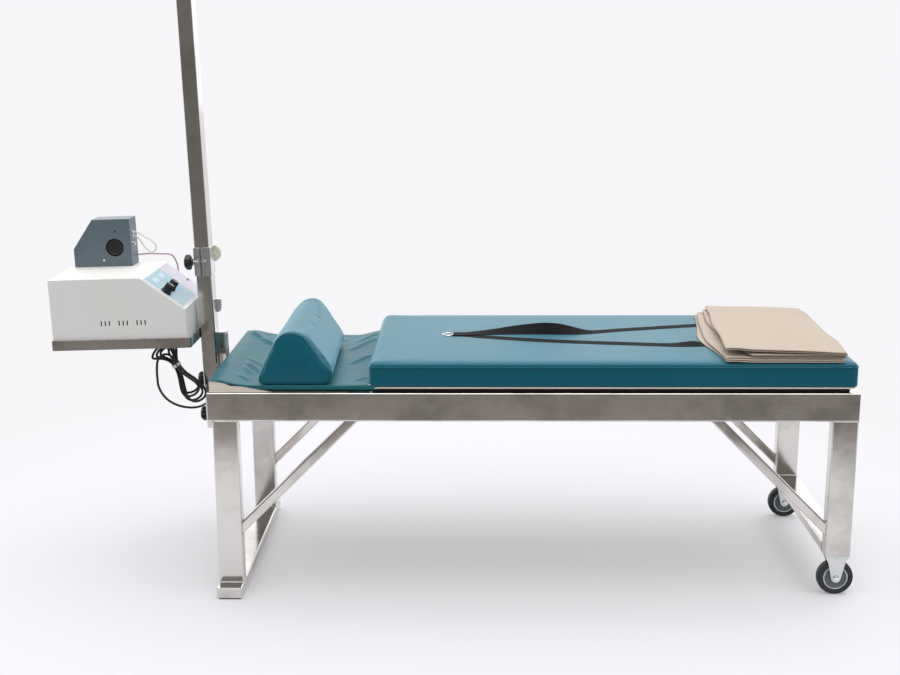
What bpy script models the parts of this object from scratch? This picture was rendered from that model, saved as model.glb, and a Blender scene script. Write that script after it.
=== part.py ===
"""Traction decompression table.

A stainless tube frame stands on a skid at the head end and on two fixed casters at the foot end.
It carries a sliding mattress, a knee bolster on a vinyl sheet, and a mast with the traction unit.
Metres, +Z up, +X towards the foot end, origin on the floor under the middle of the object.
"""

import math

import bmesh
import bpy
import numpy as np
from mathutils import Matrix, Vector

# Clearances
SEAT_GAP = 0.0003
RUNNING_GAP = 0.0005
BORE_CLEARANCE = 0.0004

# Frame of welded tube
TABLE_WIDTH = 0.655
RAIL_LENGTH = 1.772
RAIL_TOP = 0.584
RAIL_HEIGHT = 0.080
RAIL_DEPTH = 0.040
TUBE_WALL = 0.0015
TUBE_CORNER = 0.004
LEG_BREADTH = 0.070
LEG_DEPTH = 0.040
LEG_SETBACK = 0.012
BRACE_SIZE = 0.026
BRACE_REACH = 0.311
BRACE_INSET = 0.005
SKID_HEIGHT = 0.030
SKID_OVERHANG = 0.042
PAD_THICKNESS = 0.004
PAD_MARGIN = 0.004
DRAIN_RADIUS = 0.004

# Casters
CASTER_HEIGHT = 0.115
WHEEL_RADIUS = 0.050
TYRE_WIDTH = 0.028
TYRE_THICKNESS = 0.014
HUB_RADIUS = 0.013
HUB_SIDE_GAP = 0.001
FORK_CHEEK = 0.0025
FORK_CROWN = 0.006
FORK_TOP_BREADTH = 0.062
FORK_EYE_RADIUS = 0.013
FORK_SHOULDER = 0.024
AXLE_RADIUS = 0.005
AXLE_HEAD_RADIUS = 0.0085
AXLE_HEAD_LENGTH = 0.005
WHEEL_SIDES = 28

# Deck
MATTRESS_START = 0.445
MATTRESS_FOOT_SETBACK = 0.010
MATTRESS_THICKNESS = 0.064
MATTRESS_CROWN = 0.002
MATTRESS_CORNER = 0.016
MATTRESS_EDGE = 0.011
MATTRESS_DRAW = 0.003
MATTRESS_TRAVEL = 0.060
BASE_BOARD_THICKNESS = 0.008
BASE_BOARD_INSET = 0.004
GLIDE_HEIGHT = 0.0112
GLIDE_WIDTH = 0.026
GLIDE_INSET = 0.016
GLIDE_TAB_LENGTH = 0.030
GLIDE_TAB_REACH = 0.010
GLIDE_TABS = 4
HEAD_BOARD_THICKNESS = 0.018
HEAD_BOARD_START = 0.006
HEAD_BOARD_INSET = 0.006
BATTEN_BREADTH = 0.030
BATTEN_RISE = 0.014
BATTEN_SLOPE = 0.030
SHEET_THICKNESS = 0.0016
SHEET_BACK_INSET = 0.012
SHEET_HEM_DROP = 0.017
SHEET_FOLD = 0.0036
SHEET_FOLD_LENGTH = 0.052
SHEET_END_RISE = 0.024
SHEET_FLAP_DROP = 0.022
BOLSTER_START = 0.139
BOLSTER_WIDTH = 0.204
BOLSTER_HEIGHT = 0.144
BOLSTER_LENGTH = 0.505
BOLSTER_APEX_RADIUS = 0.033
BOLSTER_APEX_OFFSET = -0.014
BOLSTER_BASE_RADIUS = 0.010
BOLSTER_FRONT_INSET = 0.006
BOLSTER_END_CROWN = 0.006

# Harness lying on the mattress
HARNESS_FOOT_SETBACK = 0.046
HARNESS_LENGTH = 0.312
HARNESS_WIDTH = 0.590
HARNESS_LAYER = 0.0105
HARNESS_LAYERS = 3
HARNESS_CREASE = 0.009
HARNESS_FRONT_INSET = 0.016
STRAP_WIDTH = 0.036
STRAP_THICKNESS = 0.0026
STRAP_HUMP = 0.024
STRAP_REAR_SPREAD = 0.090
STRAP_FRONT_SPREAD = 0.125
STRAP_FROM_RING = 0.010
STRAP_PAD_GAP = 0.0013
STRAP_OVERLAP = 0.0012
RING_START = 0.653
RING_OUTER_RADIUS = 0.019
RING_WIRE = 0.005
RING_BACK = 0.018

# Mast and its stay at the head end
MAST_LEAN = math.radians(1.5)
MAST_BREADTH = 0.044
MAST_DEPTH = 0.060
MAST_WALL = 0.002
MAST_LENGTH = 1.320
MAST_FOOT_DROP = 0.1055
STAY_BREADTH = 0.024
STAY_DEPTH = 0.040
STAY_SHIFT = 0.018
STAY_WALL = 0.003
STAY_TOP = 0.179
STAY_RIB_RISE = 0.114
KNOB_RADIUS = 0.0225
KNOB_THICKNESS = 0.020
KNOB_HUB_RADIUS = 0.010
KNOB_HUB_LENGTH = 0.004
KNOB_LOBES = 6
KNOB_LOBE_DEPTH = 0.09
STUD_RADIUS = 0.005
STUD_THREAD_REACH = 0.010
UPPER_KNOB_RISE = 0.034
LOWER_KNOB_DROP = 0.0735

# Pulley collar on the mast
COLLAR_BOTTOM = 0.3535
COLLAR_HEIGHT = 0.082
COLLAR_WALL = 0.002
COLLAR_SPLIT = 0.005
EAR_THICKNESS = 0.004
EAR_REACH = 0.019
CLAMP_BOLT_RISE = 0.0425
CLAMP_BOLT_FORWARD = 0.010
CLAMP_STUD_RADIUS = 0.004
PULLEY_RADIUS = 0.026
PULLEY_WIDTH = 0.018
PULLEY_GROOVE = 0.006
PULLEY_OFFSET = 0.0155
PULLEY_RISE = 0.0555
PULLEY_AXLE_RADIUS = 0.004
PULLEY_AXLE_HEAD_RADIUS = 0.0075
PULLEY_AXLE_HEAD_LENGTH = 0.004
GUIDE_TOP = 0.2727
GUIDE_HEIGHT = 0.041
GUIDE_BREADTH = 0.0335
GUIDE_REACH = 0.012
GUIDE_THICKNESS = 0.010

# Tray and control case
TRAY_BOTTOM = 0.170
TRAY_DEPTH = 0.320
TRAY_LIP = 0.029
TRAY_WALL = 0.002
CASE_LENGTH = 0.382
CASE_END_ROOM = 0.0117
CASE_DEPTH = 0.300
CASE_HEIGHT = 0.199
CASE_FRONT_HEIGHT = 0.1065
CASE_WALL = 0.0015
PANEL_RUN = 0.122
PANEL_MARGIN = 0.007
PANEL_THICKNESS = 0.002
PANEL_FRAME = 0.012
VENT_GROUPS = 3
VENTS_PER_GROUP = 3
VENT_WIDTH = 0.0035
VENT_HEIGHT = 0.0145
VENT_PITCH = 0.0115
VENT_GROUP_PITCH = 0.051
VENT_START = 0.140
VENT_RISE = 0.079
DIAL_RADIUS = 0.013
DIAL_HEIGHT = 0.027
DIAL_SHAFT_RADIUS = 0.003
DIAL_SHAFT_REACH = 0.008
DIAL_SKIRT_RADIUS = 0.0155
DIAL_SKIRT_HEIGHT = 0.004
DIAL_DOWN_SLOPE = 0.080
DIAL_FRONT_INSET = 0.030
DIAL_SPACING = 0.056
BUTTON_RADIUS = 0.0045
BUTTON_PROUD = 0.0035
BUTTON_DEPTH = 0.008
BUTTON_TRAVEL = 0.0015
BUTTON_DOWN_SLOPE = 0.0918
BUTTON_REAR_INSET = 0.029
POWER_SUPPLY_SIZE = (0.100, 0.090, 0.070)
POWER_SUPPLY_OFFSET = 0.060

# Traction head on the control case
HEAD_LENGTH = 0.1725
HEAD_DEPTH = 0.075
HEAD_HEIGHT = 0.1405
HEAD_BACK_HEIGHT = 0.054
HEAD_TOP_LENGTH = 0.1115
HEAD_WALL = 0.002
HEAD_START = 0.0125
HEAD_REAR_INSET = 0.0025
DRUM_ALONG = 0.1233
DRUM_RISE = 0.056
DRUM_CAP_RADIUS = 0.0262
DRUM_CAP_THICKNESS = 0.004
DRUM_CAP_RECESS = 0.002
DRUM_FLANGE_RADIUS = 0.024
DRUM_CORE_RADIUS = 0.016
DRUM_FLANGE = 0.003
DRUM_LENGTH = 0.030
DRUM_SHAFT_RADIUS = 0.004
DRUM_SHAFT_REACH = 0.012
MOTOR_RADIUS = 0.027

# Traction rope, a short stiff loop out of the head
ROPE_DIAMETER = 0.005
ROPE_RISE = 0.0975
ROPE_BACK = 0.030
ROPE_POINTS = (
    (0.0000, 0.0000),
    (0.0060, 0.0000),
    (0.0190, -0.0050),
    (0.0420, -0.0190),
    (0.0600, -0.0320),
    (0.0668, -0.0450),
    (0.0630, -0.0570),
    (0.0530, -0.0615),
    (0.0425, -0.0565),
    (0.0310, -0.0430),
    (0.0175, -0.0210),
    (0.0060, -0.0125),
    (0.0000, -0.0125),
)

# Signal cable from the head to a plug on the rear of the case
CABLE_DIAMETER = 0.0045
CABLE_RISE = 0.026
CABLE_REAR_INSET = 0.020
PLUG_LENGTH = 0.026
PLUG_RADIUS = 0.007
PLUG_ALONG = 0.092
PLUG_RISE = 0.143

# Mains cord: gland, hank, free loop and plug, with X measured from the head end of the rails
CORD_DIAMETER = 0.007
GLAND_LENGTH = 0.024
GLAND_FLANGE_RADIUS = 0.010
GLAND_FLANGE = 0.003
GLAND_NECK_RADIUS = 0.007
GLAND_NECK = 0.006
GLAND_TIP_RADIUS = 0.005
GLAND_FROM_TRAY_END = 0.0905
GLAND_FORWARD = 0.052
HANK_TIE = (-0.138, 0.601)
HANK_AXIS = math.radians(-61.0)
HANK_STEP = 0.0098
HANK_WAIST = 0.0044
HANK_LOWER = ((0.128, 0.066), (0.094, 0.060), (0.117, 0.064), (0.101, 0.060))
HANK_UPPER = ((0.058, 0.058, 4.0), (0.064, 0.060, 17.0), (0.072, 0.062, 28.0), (0.052, 0.046, 60.0))
HANK_POINTS_PER_LOOP = 24
TAIL_POINTS = (
    (-0.1910, -0.0910, 0.5660),
    (-0.1890, -0.0895, 0.5400),
    (-0.1785, -0.0855, 0.5140),
    (-0.1595, -0.0780, 0.4910),
    (-0.1340, -0.0645, 0.4740),
    (-0.1080, -0.0420, 0.4630),
    (-0.0885, -0.0140, 0.4585),
    (-0.0785, 0.0180, 0.4580),
    (-0.0765, 0.0460, 0.4575),
    (-0.0670, 0.0690, 0.4565),
    (-0.0470, 0.0790, 0.4530),
    (-0.0300, 0.0800, 0.4400),
    (-0.0235, 0.0800, 0.4200),
    (-0.0230, 0.0800, 0.4050),
)
CORD_STEP = 0.016
MAINS_PLUG_LENGTH = 0.048
MAINS_PLUG_BREADTH = 0.030
MAINS_PLUG_DEPTH = 0.022
PIN_LENGTH = 0.018
PIN_BREADTH = 0.006
PIN_THICKNESS = 0.0016
PIN_SPACING = 0.0127

FINISHES = {
    "stainless": ((0.60, 0.58, 0.55), 0.30, 1.0),
    "rubber": ((0.03, 0.03, 0.03), 0.80, 0.0),
    "tyre": ((0.035, 0.04, 0.045), 0.75, 0.0),
    "wheel_plastic": ((0.17, 0.20, 0.21), 0.55, 0.0),
    "zinc": ((0.70, 0.71, 0.70), 0.35, 1.0),
    "plywood": ((0.72, 0.60, 0.43), 0.70, 0.0),
    "teal_vinyl": ((0.02, 0.18, 0.23), 0.40, 0.0),
    "sheet_vinyl": ((0.07, 0.18, 0.21), 0.45, 0.0),
    "tan_canvas": ((0.62, 0.50, 0.37), 0.90, 0.0),
    "webbing": ((0.02, 0.02, 0.025), 0.80, 0.0),
    "black_plastic": ((0.012, 0.012, 0.013), 0.45, 0.0),
    "nylon": ((0.80, 0.78, 0.58), 0.45, 0.0),
    "white_paint": ((0.66, 0.66, 0.63), 0.45, 0.0),
    "grey_paint": ((0.12, 0.16, 0.19), 0.50, 0.0),
    "panel_film": ((0.55, 0.62, 0.68), 0.35, 0.0),
    "grey_plastic": ((0.35, 0.36, 0.38), 0.50, 0.0),
    "rope": ((0.62, 0.62, 0.60), 0.55, 0.0),
    "mauve_cable": ((0.55, 0.38, 0.42), 0.50, 0.0),
}


# Places worked out from the sizes above
RAIL_BOTTOM = RAIL_TOP - RAIL_HEIGHT
HALF_WIDTH = TABLE_WIDTH / 2
MATTRESS_LENGTH = RAIL_LENGTH - MATTRESS_START - MATTRESS_FOOT_SETBACK
MAST_RIGHT = -STAY_BREADTH - SEAT_GAP
MAST_LEFT = MAST_RIGHT - MAST_BREADTH
MAST_CENTRE = (MAST_LEFT + MAST_RIGHT) / 2
TRAY_RIGHT = MAST_LEFT - SEAT_GAP
TRAY_LENGTH = TRAY_WALL + SEAT_GAP + CASE_LENGTH + CASE_END_ROOM
TRAY_LEFT = TRAY_RIGHT - TRAY_LENGTH
TRAY_FLOOR = TRAY_BOTTOM + TRAY_WALL
CASE_LEFT = TRAY_LEFT + TRAY_WALL + SEAT_GAP
CASE_RIGHT = CASE_LEFT + CASE_LENGTH
CASE_BOTTOM = TRAY_FLOOR + SEAT_GAP
CASE_TOP = CASE_BOTTOM + CASE_HEIGHT
HEAD_LEFT = CASE_LEFT + HEAD_START
HEAD_RIGHT = HEAD_LEFT + HEAD_LENGTH
HEAD_BOTTOM = CASE_TOP + SEAT_GAP
HEAD_REAR = CASE_DEPTH / 2 - HEAD_REAR_INSET
HEAD_FRONT = HEAD_REAR - HEAD_DEPTH


def leaned_x(x, z):
    """X offset from the end rail of a point given in the leaning mast's own frame."""
    return x * math.cos(MAST_LEAN) - z * math.sin(MAST_LEAN)


UNIT_REACH = SEAT_GAP - min(
    leaned_x(TRAY_LEFT, TRAY_BOTTOM),
    leaned_x(TRAY_LEFT, TRAY_BOTTOM + TRAY_LIP),
    leaned_x(CASE_LEFT, CASE_TOP),
)
WHEEL_OVERHANG = WHEEL_RADIUS - LEG_BREADTH / 2
HEAD_END = (UNIT_REACH - RAIL_LENGTH - WHEEL_OVERHANG) / 2
FOOT_END = HEAD_END + RAIL_LENGTH
HEAD_LEG = HEAD_END + LEG_SETBACK
FOOT_LEG = FOOT_END - LEG_BREADTH
SKID_BOTTOM = PAD_THICKNESS + SEAT_GAP
SKID_TOP = SKID_BOTTOM + SKID_HEIGHT
BASE_BOARD_BOTTOM = RAIL_TOP + 2 * SEAT_GAP + GLIDE_HEIGHT
MATTRESS_BOTTOM = BASE_BOARD_BOTTOM + BASE_BOARD_THICKNESS + SEAT_GAP
MATTRESS_TOP = MATTRESS_BOTTOM + MATTRESS_THICKNESS
HEAD_BOARD_TOP = RAIL_TOP + SEAT_GAP + HEAD_BOARD_THICKNESS
SHEET_LEVEL = HEAD_BOARD_TOP + SEAT_GAP + SHEET_THICKNESS / 2


# Modelling helpers


def clear_scene():
    """Remove every object of the scene."""
    for obj in list(bpy.data.objects):
        bpy.data.objects.remove(obj, do_unlink=True)


def material_for(name, finish):
    """A Principled material of its own for one piece."""
    colour, roughness, metallic = FINISHES[finish]
    material = bpy.data.materials.new(f"{name}_{finish}")
    material.use_nodes = True
    shader = material.node_tree.nodes["Principled BSDF"]
    shader.inputs["Base Color"].default_value = (*colour, 1.0)
    shader.inputs["Roughness"].default_value = roughness
    shader.inputs["Metallic"].default_value = metallic
    return material


def add_piece(name, shape, finish=None, at=(0, 0, 0), parent=None):
    """Make an object from (points, faces), with its faces turned outwards."""
    points, faces = shape
    mesh = bpy.data.meshes.new(name)
    mesh.from_pydata([tuple(map(float, p)) for p in points], [], faces)
    work = bmesh.new()
    work.from_mesh(mesh)
    bmesh.ops.recalc_face_normals(work, faces=work.faces)
    work.to_mesh(mesh)
    work.free()
    mesh.shade_smooth()
    mesh.set_sharp_from_angle(angle=math.radians(35))
    obj = bpy.data.objects.new(name, mesh)
    obj.location = at
    obj.parent = parent
    bpy.context.scene.collection.objects.link(obj)
    if finish:
        mesh.materials.append(material_for(name, finish))
    return obj


def add_empty(name, at, turn=(0, 0, 0), parent=None):
    """A frame that pieces are placed in."""
    empty = bpy.data.objects.new(name, None)
    empty.location = at
    empty.rotation_euler = turn
    empty.parent = parent
    bpy.context.scene.collection.objects.link(empty)
    return empty


def combine(piece, shape, operation="DIFFERENCE"):
    """Cut a shape from a piece, or join it on; the shape is in the piece's own frame."""
    helper = add_piece(f"{piece.name}_helper", shape, at=piece.location, parent=piece.parent)
    helper.rotation_euler = piece.rotation_euler
    helper.hide_render = True
    helper.display_type = "WIRE"
    modifier = piece.modifiers.new(operation.lower(), "BOOLEAN")
    modifier.operation = operation
    modifier.object = helper


def loft(rings, closed=False):
    """Skin a row of equal rings, capped at both ends or closed into a loop."""
    count = len(rings[0])
    faces = []
    for i in range(len(rings) if closed else len(rings) - 1):
        low = i * count
        high = (i + 1) % len(rings) * count
        for j in range(count):
            k = (j + 1) % count
            faces.append((low + j, low + k, high + k, high + j))
    if not closed:
        last = (len(rings) - 1) * count
        faces.append(tuple(range(count - 1, -1, -1)))
        faces.append(tuple(range(last, last + count)))
    return np.concatenate(rings), faces


def joined(shapes):
    """Several shapes as one mesh."""
    points = []
    faces = []
    for part_points, part_faces in shapes:
        start = sum(len(p) for p in points)
        points.append(np.asarray(part_points))
        faces += [tuple(start + i for i in face) for face in part_faces]
    return np.concatenate(points), faces


def lift(outline, axis, position):
    """Carry a flat outline to a position along an axis; its two columns are the other axes in order."""
    points = np.insert(np.asarray(outline, float), axis, 0.0, axis=1)
    points[:, axis] = position
    return points


def extruded(outline, axis, low, high):
    """A prism of an outline between two positions along an axis."""
    return loft([lift(outline, axis, low), lift(outline, axis, high)])


def rounded_rectangle(breadth, height, radius, steps=2):
    """Outline of a rectangle about its centre, with round corners."""
    points = []
    for corner, (sx, sy) in enumerate(((1, 1), (-1, 1), (-1, -1), (1, -1))):
        for step in range(steps + 1):
            angle = (corner + step / steps) * math.pi / 2
            points.append(
                (
                    sx * (breadth / 2 - radius) + radius * math.cos(angle),
                    sy * (height / 2 - radius) + radius * math.sin(angle),
                )
            )
    return np.array(points)


def box(low, high):
    """A plain block between two corners."""
    outline = ((low[0], low[1]), (high[0], low[1]), (high[0], high[1]), (low[0], high[1]))
    return extruded(outline, 2, low[2], high[2])


def circle(radius, sides, lobes=0, depth=0.0):
    """Outline of a circle that starts at its lowest point, with optional lobes."""
    angle = np.linspace(0, 2 * math.pi, sides, endpoint=False) - math.pi / 2
    reach = radius * (1 - depth + depth * np.cos(lobes * angle))
    return np.stack([reach * np.cos(angle), reach * np.sin(angle)], axis=1)


def turned(profile, axis, sides, bored=False):
    """A turned shape from (position, radius) pairs along an axis; a bored one closes on itself."""
    rings = [lift(circle(radius, sides), axis, position) for position, radius in profile]
    return loft(rings, closed=bored)


def tube(name, low, high, axis, finish, parent=None, wall=TUBE_WALL, sealed=False):
    """A rectangular tube between two corners, open at its ends or sealed with one drain hole."""
    low = np.array(low, float)
    high = np.array(high, float)
    centre = (low + high) / 2
    size = high - low
    across = [i for i in range(3) if i != axis]
    half = size[axis] / 2
    outer = rounded_rectangle(size[across[0]], size[across[1]], TUBE_CORNER)
    inner = rounded_rectangle(size[across[0]] - 2 * wall, size[across[1]] - 2 * wall, TUBE_CORNER - wall)
    if not sealed:
        rings = [lift(outer, axis, -half), lift(outer, axis, half)]
        rings += [lift(inner, axis, half), lift(inner, axis, -half)]
        return add_piece(name, loft(rings, closed=True), finish, centre, parent)
    piece = add_piece(name, extruded(outer, axis, -half, half), finish, centre, parent)
    combine(piece, extruded(inner, axis, wall - half, half - wall))
    combine(piece, extruded(circle(DRAIN_RADIUS, 8), 2, -size[2], 0.0))
    return piece


def smooth_route(points, step):
    """Points a step apart along a smooth curve through the given ones; its first and last runs stay straight."""
    route = np.array(points, float)
    route = np.vstack([2 * route[0] - route[1], route, 2 * route[-1] - route[-2]])
    dense = []
    for before, start, end, after in zip(route, route[1:], route[2:], route[3:]):
        t = np.linspace(0, 1, 24, endpoint=False)[:, None]
        dense.append(
            0.5
            * (
                2 * start
                + (end - before) * t
                + (2 * before - 5 * start + 4 * end - after) * t**2
                + (3 * start - before - 3 * end + after) * t**3
            )
        )
    between = np.vstack(dense[1:-1] + [route[-3:-2]])
    return np.vstack([route[1], evenly(between, step), route[-2]])


def evenly(path, step):
    """A dense path read at even steps along its length."""
    travelled = np.concatenate([[0], np.cumsum(np.linalg.norm(np.diff(path, axis=0), axis=1))])
    wanted = np.linspace(0, travelled[-1], max(2, round(travelled[-1] / step)) + 1)
    return np.stack([np.interp(wanted, travelled, path[:, i]) for i in range(3)], axis=1)


def cord(name, path, diameter, finish, parent=None, resolution=2):
    """A round cord with filled ends along a path."""
    data = bpy.data.curves.new(name, "CURVE")
    data.dimensions = "3D"
    data.bevel_depth = diameter / 2
    data.bevel_resolution = resolution
    data.use_fill_caps = True
    spline = data.splines.new("POLY")
    spline.points.add(len(path) - 1)
    for point, place in zip(spline.points, path):
        point.co = (*map(float, place), 1.0)
    data.materials.append(material_for(name, finish))
    obj = bpy.data.objects.new(name, data)
    obj.parent = parent
    bpy.context.scene.collection.objects.link(obj)
    return obj


def cushion_outline(length, width, corner, inset, draw):
    """Rounded outline of a cushion, its sides drawn in between the corners."""
    length -= 2 * inset
    width -= 2 * inset
    corner = max(corner - inset, 0.004)
    corners = rounded_rectangle(length, width, corner, 3)
    points = []
    for i, point in enumerate(corners):
        points.append(point)
        if i % 4 == 3:
            step = corners[(i + 1) % len(corners)] - point
            points += [point + step * share for share in (0.12, 0.5, 0.88)]
    points = np.array(points)
    sag = 1 - (2 * np.abs(points) / (length, width)) ** 2
    points[:, 0] -= np.sign(points[:, 0]) * draw * np.where(sag[:, 0] < 0.05, sag[:, 1].clip(0, 1), 0)
    points[:, 1] -= np.sign(points[:, 1]) * draw * np.where(sag[:, 1] < 0.05, sag[:, 0].clip(0, 1), 0)
    return points


def cushion(length, width, corner, draw, profile):
    """A cushion as outlines stacked from the middle of its base to the middle of its crown."""
    rings = []
    for inset, height in profile:
        rings.append(lift(cushion_outline(length, width, corner, inset, draw), 2, height))
    return loft(rings)


def thick_sheet(grid, thickness):
    """A closed sheet of even thickness about a grid of points."""
    along = np.gradient(grid, axis=0)
    across = np.gradient(grid, axis=1)
    normal = np.cross(along, across)
    normal /= np.linalg.norm(normal, axis=2, keepdims=True)
    rows, columns = grid.shape[:2]
    top = (grid + normal * thickness / 2).reshape(-1, 3)
    under = (grid - normal * thickness / 2).reshape(-1, 3)
    count = rows * columns
    faces = []
    for i in range(rows - 1):
        for j in range(columns - 1):
            corner = i * columns + j
            face = (corner, corner + columns, corner + columns + 1, corner + 1)
            faces.append(face)
            faces.append(tuple(count + k for k in reversed(face)))
    rim = [j for j in range(columns)]
    rim += [i * columns + columns - 1 for i in range(1, rows)]
    rim += [(rows - 1) * columns + j for j in range(columns - 2, -1, -1)]
    rim += [i * columns for i in range(rows - 2, 0, -1)]
    for first, second in zip(rim, rim[1:] + rim[:1]):
        faces.append((first, second, count + second, count + first))
    return np.concatenate([top, under]), faces


def star_knob(stud_radius, stud_length, axis):
    """A star knob and its stud; the stud points along the axis from the knob's inner face."""
    sides = 5 * KNOB_LOBES
    star = circle(KNOB_RADIUS, sides, KNOB_LOBES, KNOB_LOBE_DEPTH)
    face = star * 0.82
    rings = [
        lift(face, axis, -KNOB_THICKNESS - KNOB_HUB_LENGTH),
        lift(star, axis, -KNOB_THICKNESS - KNOB_HUB_LENGTH + 0.003),
        lift(star, axis, -KNOB_HUB_LENGTH - 0.002),
        lift(face, axis, -KNOB_HUB_LENGTH),
        lift(circle(KNOB_HUB_RADIUS, sides), axis, -KNOB_HUB_LENGTH),
        lift(circle(KNOB_HUB_RADIUS, sides), axis, 0.0),
        lift(circle(stud_radius, sides), axis, 0.0),
        lift(circle(stud_radius, sides), axis, stud_length),
    ]
    return loft(rings)


# Frame


def build_frame():
    """Rails, legs, braces, skid and its rubber pad."""
    for side, end in ((-1, "front"), (1, "rear")):
        near, far = sorted((side * HALF_WIDTH, side * (HALF_WIDTH - RAIL_DEPTH)))
        tube(
            f"side_rail_{end}",
            (HEAD_END, near, RAIL_BOTTOM),
            (FOOT_END, far, RAIL_TOP),
            0,
            "stainless",
            sealed=True,
        )
        near, far = sorted((side * HALF_WIDTH, side * (HALF_WIDTH - LEG_DEPTH)))
        top = RAIL_BOTTOM - SEAT_GAP
        tube(
            f"leg_head_{end}",
            (HEAD_LEG, near, SKID_TOP + SEAT_GAP),
            (HEAD_LEG + LEG_BREADTH, far, top),
            2,
            "stainless",
        )
        tube(f"leg_foot_{end}", (FOOT_LEG, near, CASTER_HEIGHT), (FOOT_END, far, top), 2, "stainless")
        brace(f"brace_head_{end}", HEAD_LEG + LEG_BREADTH, 1, side)
        brace(f"brace_foot_{end}", FOOT_LEG, -1, side)
    inner = HALF_WIDTH - RAIL_DEPTH - SEAT_GAP
    for name, start in (("end_rail_head", HEAD_END), ("end_rail_foot", FOOT_END - RAIL_DEPTH)):
        tube(name, (start, -inner, RAIL_BOTTOM), (start + RAIL_DEPTH, inner, RAIL_TOP), 1, "stainless")
    inner = HALF_WIDTH - LEG_DEPTH - SEAT_GAP
    tube(
        "caster_bar",
        (FOOT_LEG, -inner, CASTER_HEIGHT),
        (FOOT_END, inner, CASTER_HEIGHT + SKID_HEIGHT),
        1,
        "stainless",
    )
    reach = HALF_WIDTH + SKID_OVERHANG
    tube(
        "foot_skid",
        (HEAD_LEG, -reach, SKID_BOTTOM),
        (HEAD_LEG + LEG_BREADTH, reach, SKID_TOP),
        1,
        "stainless",
        sealed=True,
    )
    outline = rounded_rectangle(LEG_BREADTH - 2 * PAD_MARGIN, 2 * (reach - PAD_MARGIN), TUBE_CORNER)
    add_piece(
        "skid_pad",
        extruded(outline, 2, 0.0, PAD_THICKNESS),
        "rubber",
        (HEAD_LEG + LEG_BREADTH / 2, 0, 0),
    )


def brace(name, leg_face, way, side):
    """A slanting tube cut to lie against a leg's inner face and the rail's underside."""
    middle = side * (HALF_WIDTH - BRACE_INSET - BRACE_SIZE / 2)
    foot = np.array((leg_face + way * SEAT_GAP, middle, RAIL_BOTTOM - BRACE_REACH))
    head = np.array((leg_face + way * BRACE_REACH, middle, RAIL_BOTTOM - SEAT_GAP))
    along = (head - foot) / np.linalg.norm(head - foot)
    across = np.array((0.0, 1.0, 0.0))
    upward = np.cross(along, across)
    rings = []
    for size, radius, order in (
        (BRACE_SIZE, TUBE_CORNER, 1),
        (BRACE_SIZE - 2 * TUBE_WALL, TUBE_CORNER - TUBE_WALL, -1),
    ):
        outline = rounded_rectangle(size, size, radius)
        points = foot + outline[:, :1] * across + outline[:, 1:] * upward
        at_leg = points + ((foot - points)[:, :1] / along[0]) * along
        at_rail = points + ((head - points)[:, 2:] / along[2]) * along
        rings += [at_leg, at_rail][::order]
    add_piece(name, loft([ring - foot for ring in rings], closed=True), "stainless", foot)


# Casters


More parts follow.
